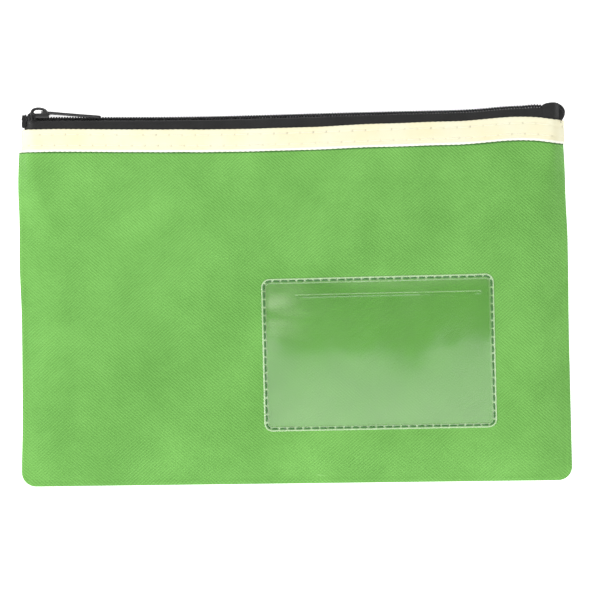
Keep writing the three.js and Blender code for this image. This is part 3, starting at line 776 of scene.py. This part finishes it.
def coil_path(side, samples=12):
    """Centre line of one coil. Past the slider's mouth its turns swing round to face outwards."""
    start, end = 1.5 - HALF_TOP, CHAIN_END
    turns = int((end - start) / COIL_PITCH)
    shift = 0.25 if side > 0 else 0.75
    angle = np.arange(turns * samples) * 2 * np.pi / samples
    x = start + (angle / (2 * np.pi) + shift) * COIL_PITCH
    swing = opened(x)
    half_across, half_high = 1.2 + 0.2 * swing, 0.68
    across = -np.cos(angle) * half_across
    high = np.sin(angle) * half_high
    tilt = swing * math.radians(80)
    outermost = front_arch(x, TAPE_PLANE) + 1.1 - MID_LEVEL if side > 0 else 2.65
    out = 0.75 + swing * (outermost - 0.75)
    down = 0.93 - swing * 0.42 + (0.3 if side < 0 else 0.0)
    z = MID_LEVEL + side * (out + across * np.cos(tilt) + high * np.sin(tilt))
    y = ZIP_TOP - down + high * np.cos(tilt) - across * np.sin(tilt)
    return np.stack([x, y, z], -1), angle


def make_coil(name, side, replaced):
    path, angle = coil_path(side)
    head = 0.25 + 0.05 * np.maximum(np.cos(angle), 0) ** 2
    piece = make_piece(name, *tube(settled(path), head, 6), NYLON, "zip_coil")
    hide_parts(*replaced)


def make_chain_thread(name, path, radius, sides, replaced):
    piece = make_piece(name, *tube(settled(path), radius, sides), BLACK_THREAD, "black_thread")
    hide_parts(*replaced)


def make_filler_cord(name, side, replaced):
    x = np.arange(SLIDER_LOW[0] + 3, CHAIN_END, 0.5)
    twist = x * 2 * np.pi / 1.5
    y = ZIP_TOP - 0.85 + 0.05 * np.cos(twist)
    z = MID_LEVEL + side * (0.95 + 0.05 * np.sin(twist))
    make_chain_thread(name, np.stack([x, y, z], -1), 0.24, 8, replaced)


def make_coil_sewing(name, side, replaced):
    """The chain stitch that ties the coil down: it dips between the turns and loops over them."""
    x = np.arange(SLIDER_LOW[0] + 3, CHAIN_END, 0.15)
    over_turn = 1.5 - HALF_TOP + (0.5 if side > 0 else 1.0) * COIL_PITCH
    phase = (x - over_turn) * 2 * np.pi / COIL_PITCH
    y = ZIP_TOP - 0.38 + 0.32 * np.cos(phase) - (0.3 if side < 0 else 0.0)
    z = MID_LEVEL + side * (1.25 + 0.22 * np.sin(phase / 2))
    make_chain_thread(name, np.stack([x, y, z], -1), 0.12, 6, replaced)


# ---- tape ends ----


# The folded end in section, from back to front: how far out each place lies, and how high its wall stands.
FOLD_SECTION = [(-1, 0), (-1, 0.45), (-0.97, 0.75), (-0.85, 0.93), (-0.6, 1), (-0.3, 1), (0, 1), (0.3, 1),
                (0.6, 1), (0.72, 1), (0.82, 1), (0.9, 0.99), (0.96, 0.92), (1, 0.75), (1, 0.45), (1, 0)]
TACK_ROW = 44                 # the tacks bite into this row of the fold, on its front


def eased(points, times=1):
    """Rounds off a line's corners, in place, and leaves its ends."""
    for _ in range(times):
        points[1:-1] = (points[:-2] + 2 * points[1:-1] + points[2:]) / 4
    return points


def resampled(points, count):
    """A line through the same corners with evenly spread points."""
    at = np.linspace(0, len(points) - 1, count)
    return np.stack([np.interp(at, np.arange(len(points)), points[:, axis]) for axis in (0, 1)], -1)


def make_right_end():
    """The tape's end, folded back over the end of the chain like a cap."""
    crest = [(-9.2, -0.4), (-8.4, 0.3), (-7.0, 0.95), (-5.4, 1.4), (-3.7, 1.6), (-2.2, 1.4), (-0.8, 0.7),
             (0.2, -0.4), (0.8, -1.6), (0.75, -2.8), (0.2, -4.0), (-0.3, -4.7)]
    profile = eased(resampled(np.array(crest) + (HALF_TOP, ZIP_TOP), 49), 5)
    low = FOLD_LOW[1] - 0.4
    base = np.stack([np.clip(profile[:, 0], HALF_TOP - 8.2, HALF_TOP - 2.2), np.full(len(profile), low)], -1)
    rows = []
    for depth_share, reach in eased(resampled(np.array(FOLD_SECTION), 52)):
        valley = 1 - smoothstep(0.62, 0.84, abs(depth_share))
        top = profile.copy()
        top[:, 1] -= np.maximum(top[:, 1] - (ZIP_TOP - 1.3), 0) * (valley if depth_share > 0 else 1)
        flat = base + (top - base) * reach
        wrinkle = 0.1 * cloud(flat[:, 0], flat[:, 1] + depth_share, 2.6, 8.8)
        arch = front_arch(flat[:, 0], flat[:, 1]) - MID_LEVEL
        room = np.clip(arch - 1.0, 0.2, 3.0)
        cover = np.clip(arch + 0.5, 1.4, 4.4) if depth_share > 0 else 2.9
        outside = smoothstep(BINDING_TOP - 0.4, BINDING_TOP + 1.6, flat[:, 1])
        depth = MID_LEVEL + depth_share * (room + (cover - room) * outside) + wrinkle
        rows.append(np.column_stack([flat, depth]))
    rows = settled(np.array(rows))
    faces = grid_faces(*rows.shape[:2], flip=True)
    piece = make_piece("right_end_fold", rows.reshape(-1, 3), faces, BLACK_TAPE, "zip_tape")
    weld(piece)
    thicken(piece, TAPE)
    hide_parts("right_tape_end")
    parts = []
    for column in range(24, 37, 3):
        here, there = rows[TACK_ROW, column], rows[TACK_ROW - 2, column - 1]
        middle = (here + there) / 2 + (0, 0, 0.2)
        parts.append(tube(np.array([here, middle, there]), 0.11, 6))
    tacks = make_piece("right_end_tacks", *joined(parts), BLACK_THREAD, "black_thread")


# Each yarn's height from the zip's top, its lean and its length.
FRAYED_YARNS = [(0.1, 0.9, 1.1), (-0.3, 0.5, 0.8), (-0.9, 0.1, 1.2), (-1.6, -0.2, 0.8), (-2.0, 0.15, 1.0),
                (-2.8, -0.4, 0.6), (0.3, 1.6, 0.7)]


def make_left_end():
    """The two tape ends, folded to and fro and sewn into the mouth, with a few frayed yarns."""
    left = -HALF_TOP + 0.3
    steps = []
    for layer in range(3):
        x = left + 0.55 * layer
        heights = np.linspace(ZIP_TOP - 4.6, ZIP_TOP + 0.8 + 0.12 * layer, 12)
        ys = heights if layer % 2 == 0 else heights[::-1]
        steps += [(x + 0.1 * math.sin(2.1 * y + layer), y) for y in ys]
    path = eased(np.array(steps), 2)
    depths = np.linspace(MOUTH_BACK_LEVEL + 1.0, MID_LEVEL + 0.9, 12)
    rows = []
    for depth in depths:
        drop = 0.5 * smoothstep(depths[-1] - 1.4, depths[-1], depth) + 0.3 * smoothstep(2.6, 1.6, depth)
        sway = 0.14 * cloud(path[:, 0], path[:, 1] + depth, 2.0, 6.1)
        y = path[:, 1] - drop * smoothstep(ZIP_TOP - 3, ZIP_TOP, path[:, 1])
        rows.append(np.column_stack([path[:, 0] + sway, y, np.full(len(path), depth)]))
    rows = settled(np.array(rows))
    faces = grid_faces(*rows.shape[:2])
    piece = make_piece("left_end_folds", rows.reshape(-1, 3), faces, BLACK_TAPE, "zip_tape", smooth=False)
    thicken(piece, 0.6, offset=0)
    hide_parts("left_tape_end")
    yarns = []
    for k, (start_y, lean, length) in enumerate(FRAYED_YARNS):
        start = np.array([left + 0.3, ZIP_TOP + start_y - 0.2, MID_LEVEL + 1.2 - 0.35 * k])
        share = np.linspace(0, 1, 6)[:, None]
        path = start + share * length * np.array([-1.0, lean, 0.15])
        path = path + share**2 * np.array([0.1, -0.25, 0.1 * (k % 3)])
        yarns.append(tube(settled(path), np.linspace(0.2, 0.09, 6), 6))
    frayed = make_piece("left_end_yarns", *joined(yarns), BLACK_THREAD, "black_thread")


# ---- slider and pull ----


def rounded(corners, radius, steps=6):
    """A closed outline through corners, each rounded by its own radius."""
    corners = np.array(corners, float)
    radii = np.broadcast_to(radius, len(corners))
    outline = []
    for before, here, after, r in zip(np.roll(corners, 1, 0), corners, np.roll(corners, -1, 0), radii):
        back, ahead = before - here, after - here
        back /= np.linalg.norm(back)
        ahead /= np.linalg.norm(ahead)
        for t in np.linspace(0, 1, steps):
            outline.append(here + r * ((1 - t) ** 2 * back + t**2 * ahead))
    return np.array(outline)


def mirrored(corners):
    """The corners' mirror images, in the order that carries on round the outline."""
    return [(x, -z) for x, z in corners[::-1]]


def slab(outlines, low, high, bevel):
    """A bevelled plate between two heights. Outlines are closed loops of (x, z); the later ones are holes."""
    curve = bpy.data.curves.new("slab", "CURVE")
    curve.dimensions = "2D"
    curve.fill_mode = "BOTH"
    curve.extrude = (high - low) / 2 - bevel
    curve.bevel_depth = bevel
    curve.bevel_resolution = 2
    for outline in outlines:
        spline = curve.splines.new("POLY")
        spline.points.add(len(outline) - 1)
        spline.use_cyclic_u = True
        for point, (x, z) in zip(spline.points, outline):
            point.co = (x, z, 0, 1)
    shape = bpy.data.objects.new("slab", curve)
    bpy.context.scene.collection.objects.link(shape)
    mesh = bpy.data.meshes.new_from_object(shape.evaluated_get(bpy.context.evaluated_depsgraph_get()))
    points = np.array([vertex.co for vertex in mesh.vertices])
    faces = [tuple(face.vertices) for face in mesh.polygons]
    bpy.data.objects.remove(shape)
    bpy.data.curves.remove(curve)
    bpy.data.meshes.remove(mesh)
    placed = np.stack([points[:, 0], points[:, 2] + (low + high) / 2, points[:, 1]], -1)
    return placed, [face[::-1] for face in faces]


SLIDER_CENTRE = (SLIDER_LOW[0] + SLIDER_HIGH[0]) / 2
PIVOT = (PULL_LOW[0] + 0.53, SLIDER_HIGH[1] - 2.0)
PULL_TILT = math.radians(5.4)
SLIDER_DROP = 0.4             # the worn slider hangs this far below where the CAD one stands
PLATE = 0.7
BRIDGE_HEIGHT = 3.0
PLATE_TOP = SLIDER_HIGH[1] - BRIDGE_HEIGHT - 0.1
BRIDGE_HALF, BRIDGE_BAR = 3.65, 0.55
SHARP_ANGLE = 40


def make_slider():
    half = (SLIDER_HIGH[2] - SLIDER_LOW[2]) / 2
    start, end = SLIDER_LOW[0] - SLIDER_CENTRE, SLIDER_HIGH[0] - SLIDER_CENTRE
    flank = [(start + 0.3, -half), (-1.0, -half), (1.0, 0.5 - half), (end, 0.5 - half)]
    notch = [(start, half - 1.5), (start + 1.1, 0), (start, 1.5 - half)]
    shoulders = flank + mirrored(flank) + notch
    radii = [0.5, 0.8, 0.8, 1.2, 1.2, 0.8, 0.8, 0.5, 0.7, 0.9, 0.7]
    place = np.array([SLIDER_CENTRE, MID_LEVEL])
    top = rounded(np.array(shoulders) * (1, 0.93) + place, radii)
    low = rounded(np.array(shoulders) * (0.97, 0.8) + place, radii)
    parts = [slab([top], PLATE_TOP - PLATE, PLATE_TOP, 0.2)]
    under = SLIDER_LOW[1]
    parts.append(slab([low], under, under + PLATE, 0.2))
    for side in (-1, 1):
        wall = [(start + 0.9, 2.95), (end - 0.8, 2.55), (end - 0.5, 3.1), (1.0, 3.2), (-1.0, half - 0.05),
                (start + 0.6, half - 0.05)]
        wall = np.array(wall) * (1, side) + place
        parts.append(slab([rounded(wall, 0.25)], PLATE_TOP - PLATE - 1.3, PLATE_TOP - 0.25, 0.12))
    diamond = np.array([(start + 0.2, 0), (start + 1.3, -0.6), (start + 2.9, -0.2), (start + 2.9, 0.2),
                        (start + 1.3, 0.6)]) + place
    parts.append(slab([rounded(diamond, 0.15)], under + 0.3, PLATE_TOP - 0.3, 0.05))
    turn = np.radians(np.linspace(180, 0, 33))
    reach, rise = BRIDGE_HALF - BRIDGE_BAR, SLIDER_HIGH[1] - SLIDER_DROP - PLATE_TOP - 0.5
    arch_x = SLIDER_CENTRE + reach * np.sign(np.cos(turn)) * np.abs(np.cos(turn)) ** 0.72
    arch_y = PLATE_TOP - 0.15 + (rise + 0.15) * np.sin(turn) ** 0.72
    arch = np.stack([arch_x, arch_y, np.full(len(turn), MID_LEVEL)], -1)
    arch = np.concatenate([[arch[0] - (0, 0.4, 0)], arch, [arch[-1] - (0, 0.4, 0)]])
    arch[:, 1] -= 0.35 * np.clip((arch[:, 0] - SLIDER_CENTRE) / reach, 0, 1)
    thick = 0.6 + 0.16 * smoothstep(0.45, 1.0, np.abs(arch[:, 0] - SLIDER_CENTRE) / reach)
    parts.append(tube(arch, thick, 14, squash=1.75))
    pad = np.array([(-0.95, -1.25), (0.95, -1.25), (0.95, 1.25), (-0.95, 1.25)])
    for edge_x in (-reach, reach):
        foot = rounded(pad + (SLIDER_CENTRE + edge_x, MID_LEVEL), 0.5)
        parts.append(slab([foot], PLATE_TOP - 0.2, PLATE_TOP + 0.45, 0.2))
    piece = make_piece("slider_casting", *joined(parts), ENAMEL, "slider_metal", body="slider")
    sharpen(piece)
    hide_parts("slider_body")


def sharpen(piece):
    piece.data.set_sharp_from_angle(angle=math.radians(SHARP_ANGLE))


def make_pull():
    """The flat tab, seen edge on: it hangs on the bridge and rests its tip on the coils."""
    pivot = np.array([PIVOT[0], PIVOT[1] - SLIDER_DROP - 0.25])
    length = PULL_HIGH[0] - PULL_LOW[0] - 0.4
    half = (PULL_HIGH[2] - PULL_LOW[2]) / 2
    eye_end, neck = 5.6, 6.8
    start = -0.5
    flank = [(start, 0.3 - half), (neck - 0.4, -half), (neck + 1.4, 0.7 - half), (length - 5, -half),
             (length - 0.5, 0.5 - half)]
    radii = [0.6, 0.4, 1.2, 2.0, 1.0]
    outline = rounded(flank + mirrored(flank), radii + radii[::-1])
    eye = rounded([(0.6, -1.35), (eye_end, -1.35), (eye_end, 1.35), (0.6, 1.35)], 0.5)
    dish = rounded([(neck + 3.5, -1.3), (length - 3, -1.4), (length - 3, 1.4), (neck + 3.5, 1.3)], 0.6)
    parts = [slab([outline, eye[::-1]], -0.55, 0.55, 0.12), slab([dish], -0.6, 0.6, 0.08)]
    points, faces = joined(parts)
    points[:, 1] += 0.03 * np.sin(points[:, 0] / 3.5)
    cos, sin = math.cos(-PULL_TILT), math.sin(-PULL_TILT)
    x, y = points[:, 0] * cos - points[:, 1] * sin, points[:, 0] * sin + points[:, 1] * cos
    placed = np.stack([x + pivot[0], y + pivot[1], points[:, 2] + MID_LEVEL], -1)
    piece = make_piece("pull_strip", placed, faces, ENAMEL, "slider_metal", body="pull")
    sharpen(piece)
    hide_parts("pull_tab")


# ---- card window ----

WINDOW_RADIUS = 3.6
WINDOW_SHEET = 0.28
WINDOW_CREEP = (-0.2, 0.28)    # how far the sheet's middle crept while it was sewn on
STITCH_INSET = 1.1
WINDOW_INSETS = [0, 0.15, 0.3, 0.45, 0.6, 0.8, 0.95, 1.1, 1.25, 1.4, 1.6, 1.8, 2.0, 2.3, 2.7, 3.15, 3.6]
SLIT_LEFT, SLIT_RIGHT, SLIT_BELOW_TOP, SLIT_WIDTH = 15.0, 6.0, 7.5, 0.3


def window_level(u, v):
    """Height of the clear sheet's outer face; u and v are measured from the window's middle."""
    inset = window_inset(u, v)
    x, y = u + WINDOW_CENTRE[0], v + WINDOW_CENTRE[1]
    cloth = front_level(x, y)
    flat = FRONT_LEVEL + 0.1
    free = smoothstep(2, 9, inset)
    level = cloth * (1 - free) + flat * free + WINDOW_SHEET + 0.12
    level += 0.22 * smoothstep(1.6, 8, inset)
    level += 0.03 * bump(inset, 0.45, 0.3) - 0.06 * bump(inset, STITCH_INSET, 0.38) + 0.03 * bump(inset, 1.8, 0.35)
    waves = 0.02 * cloud(u, v, 24, 4.9) + 0.006 * cloud(u, v * 0.6, 6, 2.6)
    dip = 0.003 * smoothstep(-47, -34, u) * (1 - smoothstep(14, 27, u)) + 0.0026 * bump(u, 12, 9)
    valley = -dip * (v + 5)
    beside_slit = smoothstep(SLIT_LEFT - 3, SLIT_LEFT + 3, u + WINDOW_HALF[0])
    lips = 0.02 * bump(v, WINDOW_HALF[1] - SLIT_BELOW_TOP, 0.8) * beside_slit
    return level + free * (waves + valley + lips)


def window_inset(u, v):
    """Distance in from the window's rounded edge."""
    across = np.abs(u) - (WINDOW_HALF[0] - WINDOW_RADIUS)
    up = np.abs(v) - (WINDOW_HALF[1] - WINDOW_RADIUS)
    corner = np.hypot(np.maximum(across, 0), np.maximum(up, 0))
    return WINDOW_RADIUS - np.where((across > 0) & (up > 0), corner, np.maximum(across, up))


def on_window(u, v, lift=0.0):
    """Points in the frame for places on the window, turned a little because it was sewn on askew."""
    z = window_level(u, v) + lift
    cos, sin = math.cos(WINDOW_TURN), math.sin(WINDOW_TURN)
    x = WINDOW_CENTRE[0] + u * cos - v * sin + WINDOW_CREEP[0] * (1 + u / WINDOW_HALF[0])
    y = WINDOW_CENTRE[1] + u * sin + v * cos + WINDOW_CREEP[1] * (1 + v / WINDOW_HALF[1])
    return settled(np.stack([x, y, z], -1))


def window_outline(inset, columns, rows):
    """A loop at an inset from the edge, through the same columns and rows as the field inside."""
    half_u, half_v = WINDOW_HALF - WINDOW_RADIUS
    radius = WINDOW_RADIUS - inset
    turn = np.radians(np.linspace(0, 90, 13))
    quarter = np.stack([np.cos(turn), np.sin(turn)], -1) * radius
    right = np.stack([np.full(len(rows), half_u + radius), rows], -1)
    top = np.stack([columns[::-1], np.full(len(columns), half_v + radius)], -1)
    corner = [quarter + (half_u, half_v)]
    corner.append(np.stack([-quarter[:, 1], quarter[:, 0]], -1) + (-half_u, half_v))
    corner.append(-quarter + (-half_u, -half_v))
    corner.append(np.stack([quarter[:, 1], -quarter[:, 0]], -1) + (half_u, -half_v))
    left, bottom = -right, -top
    left[:, 1], bottom[:, 0] = rows[::-1], columns
    return np.concatenate([right[:-1], corner[0][:-1], top[:-1], corner[1][:-1], left[:-1], corner[2][:-1],
                           bottom[:-1], corner[3][:-1]])


def make_window():
    half_u, half_v = WINDOW_HALF - WINDOW_RADIUS
    slit = WINDOW_HALF[1] - SLIT_BELOW_TOP
    columns = np.linspace(-half_u, half_u, 156)
    by_slit = slit + np.array([-0.8, -0.45, -0.09, 0.09, 0.45, 0.8])
    rows = np.concatenate([np.linspace(-half_v, slit - 1.2, 86), by_slit, np.linspace(slit + 1.2, half_v, 6)])
    rings = np.array([window_outline(inset, columns, rows) for inset in WINDOW_INSETS])
    count = rings.shape[1]
    faces = []
    for ring in range(len(rings) - 1):
        a = ring * count + np.arange(count)
        b = ring * count + (np.arange(count) + 1) % count
        faces.append(np.stack([a, b, b + count, a + count], -1))
    u, v = np.meshgrid(columns, rows)
    field = grid_faces(len(rows), len(columns), rings.shape[0] * count)
    middles = np.stack([(u[:-1, :-1] + u[1:, 1:]) / 2, (v[:-1, :-1] + v[1:, 1:]) / 2], -1).reshape(-1, 2)
    slit_start, slit_end = SLIT_LEFT - WINDOW_HALF[0], WINDOW_HALF[0] - SLIT_RIGHT
    in_slit = (np.abs(middles[:, 1] - slit) < SLIT_WIDTH / 2) & (middles[:, 0] > slit_start)
    in_slit &= middles[:, 0] < slit_end
    faces.append(field[~in_slit])
    flat = np.concatenate([rings.reshape(-1, 2), np.stack([u, v], -1).reshape(-1, 2)])
    u, v = flat[:, 0], flat[:, 1]
    piece = make_piece("window_clear_sheet", on_window(u, v), np.concatenate(faces), CLEAR, "clear_sheet")
    inset = window_inset(u, v)
    # painted highlights: along the cut edge, along a line inside the stitches, and on the stitch line between the
    # stitches
    painted_light = 0.5 * bump(inset, 0.3, 0.34) + 0.09 * bump(inset, 1.85, 0.35)
    gaps = np.abs(np.sin(np.pi * stitch_phase(u, v)))
    painted_light += 0.4 * bump(inset, STITCH_INSET, 0.4) * (1 - smoothstep(0.25, 0.5, gaps))
    # painted reflection haze: streaky at the upper left, faint over the lower half, and along the top
    streaks = 0.6 + 0.8 * cloud(u * 0.5, v * 2.0, 7, 3.3)
    painted_light += 0.21 * streaks * bump(u, -WINDOW_HALF[0] + 3, 13) * bump(v, 21, 13) * smoothstep(1, 4, inset)
    painted_light += 0.035 * smoothstep(-6, -30, v) * smoothstep(1, 4, inset)
    painted_light += 0.07 * streaks * bump(u, 12, 32) * bump(v, WINDOW_HALF[1] - 2.5, 2.6)
    # painted highlight along the slit's upper edge
    near_slit = (u > slit_start - 0.5) & (u < slit_end + 0.5)
    painted_light += 0.24 * bump(v, slit + 0.3, 0.2) * near_slit * (0.75 + 0.5 * cloud(u, v, 3, 1.9))
    paint(piece, "painted_light", np.clip(painted_light, 0, 0.8))
    paint(piece, "shade", 0.4 * bump(v, slit - 0.3, 0.22) * near_slit * (1 - 0.6 * smoothstep(-20, 10, u)))
    weld(piece)
    thicken(piece, WINDOW_SHEET)
    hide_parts("window_sheet")
    threads = make_window_stitches()


def stitch_path():
    """The stitch line round the window, as a dense loop of (u, v) with the length up to each point."""
    u, v = WINDOW_HALF - WINDOW_RADIUS
    columns, rows = np.linspace(-u, u, 400), np.linspace(-v, v, 260)
    loop = window_outline(STITCH_INSET, columns, rows)
    steps = np.linalg.norm(np.diff(np.concatenate([loop, loop[:1]]), axis=0), axis=1)
    return loop, np.concatenate([[0], np.cumsum(steps)])


STITCH_LOOP, STITCH_LENGTHS = stitch_path()
WINDOW_STITCHES = round(STITCH_LENGTHS[-1] / WINDOW_STITCH)


def stitch_phase(u, v):
    """Number of stitches from the start of the stitch line to the place nearest to each (u, v)."""
    phase = np.zeros(len(u))
    near = window_inset(u, v) < 2.6
    sparse = STITCH_LOOP[::4]
    away = np.hypot(u[near][:, None] - sparse[None, :, 0], v[near][:, None] - sparse[None, :, 1])
    phase[near] = STITCH_LENGTHS[:-1][::4][away.argmin(1)] / STITCH_LENGTHS[-1] * WINDOW_STITCHES
    return phase


def make_window_stitches():
    loop = np.concatenate([STITCH_LOOP, STITCH_LOOP[:1]])
    parts = []
    for stitch in range(WINDOW_STITCHES):
        shares = np.array([0.0, 0.05, 0.15, 0.35, 0.65, 0.85, 0.95, 1.0])
        wobble = 0.03 * math.sin(12.9 * stitch)
        lengths = (stitch + 0.14 + wobble + shares * 0.73) * STITCH_LENGTHS[-1] / WINDOW_STITCHES
        u = np.interp(lengths, STITCH_LENGTHS, loop[:, 0])
        v = np.interp(lengths, STITCH_LENGTHS, loop[:, 1])
        lift = 0.12 - 0.5 * np.abs(2 * shares - 1) ** 6
        parts.append(tube(on_window(u, v, lift), 0.34, 8))
    piece = make_piece("window_thread", *joined(parts), GREEN_THREAD, "green_thread")
    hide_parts("window_stitches")
    return piece


# ---- the pieces ----

make_panel("front_panel_cloth", 1, front_level, ["front_panel"])
make_panel("back_panel_cloth", -1, back_level, ["back_panel"])
make_binding("front_binding_strip", 1, ["front_binding"])
make_binding("back_binding_strip", -1, ["back_binding"])
for side_name, side in (("front", 1), ("back", -1)):
    for row in STITCH_ROWS:
        make_binding_stitches(f"{side_name}_binding_{row}_thread", side, row,
                              [f"{side_name}_binding_{row}_stitches"])
    make_tape(f"{side_name}_tape_woven", side, [f"{side_name}_zip_tape"])
    make_coil(f"{side_name}_coil_turns", side, [f"{side_name}_coil"])
    make_filler_cord(f"{side_name}_cord", side, [f"{side_name}_filler_cord"])
    make_coil_sewing(f"{side_name}_coil_stitches", side, [f"{side_name}_coil_sewing_thread"])

make_left_end()
make_right_end()
make_slider()
make_pull()
make_window()
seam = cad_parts["side_and_bottom_seam_thread"]
seam.data.materials.clear()
seam.data.materials.append(GREEN_THREAD)

# ---- studio ----

VIEW_ROLL = math.radians(0.95)
VIEW_DISTANCE = 1600.0
VIEW_WIDTH = 252.5            # millimetres across the picture at the bag's front
VIEW_CENTRE = (0.36, -1.25)
SOFTBOX_EDGE = -0.049         # its near edge, in metres, which the window mirrors across its middle
FLOOR_REACH = 6.0             # in metres


def make_floor():
    mesh = bpy.data.meshes.new("floor")
    corners = [(x * FLOOR_REACH, y * FLOOR_REACH, 0) for x, y in ((-1, -1), (1, -1), (1, 1), (-1, 1))]
    mesh.from_pydata(corners, [], [(0, 1, 2, 3)])
    look = Look("floor_paint")
    tone = look.mix(look.noise(300, 2), colour(250, 250, 250), colour(255, 255, 255))
    look.put(look.shader.inputs["Emission Color"], tone)
    mesh.materials.append(look.finish(tone, 0.9, Emission_Strength=0.75))
    floor = bpy.data.objects.new("floor", mesh)
    bpy.context.scene.collection.objects.link(floor)


def make_light(name, place, size, power, aim):
    """A rectangular lamp; its place, size and aim are in metres."""
    data = bpy.data.lights.new(name, "AREA")
    data.shape = "RECTANGLE"
    data.size, data.size_y = size
    data.energy = power
    light = bpy.data.objects.new(name, data)
    light.location = place
    direction = Vector(aim) - Vector(place)
    light.rotation_euler = direction.to_track_quat("-Z", "Y").to_euler()
    bpy.context.scene.collection.objects.link(light)


def make_studio():
    world = bpy.data.worlds.new("studio")
    world.use_nodes = True
    background = world.node_tree.nodes["Background"]
    background.inputs["Color"].default_value = (1, 1, 1, 1)
    background.inputs["Strength"].default_value = 0.55
    bpy.context.scene.world = world
    make_light("softbox", (0.1, SOFTBOX_EDGE - 1.5, 2.2), (4.6, 3.0), 72.8, (0.1, SOFTBOX_EDGE - 1.5, 0))
    make_light("left_panel", (-0.95, 0.1, 0.85), (0.7, 0.7), 7.8, (0, 0, 0))
    bpy.context.scene.view_settings.view_transform = "Standard"


def make_camera():
    data = bpy.data.cameras.new("camera")
    camera = bpy.data.objects.new("camera", data)
    camera.location = (VIEW_CENTRE[0] * MM, VIEW_CENTRE[1] * MM, (VIEW_DISTANCE + FRONT_LEVEL) * MM)
    camera.rotation_euler = (0, 0, -VIEW_ROLL)
    data.lens = data.sensor_width * VIEW_DISTANCE / VIEW_WIDTH
    data.clip_start, data.clip_end = 0.01, 50
    bpy.context.scene.collection.objects.link(camera)
    bpy.context.scene.camera = camera


make_floor()
make_studio()
make_camera()
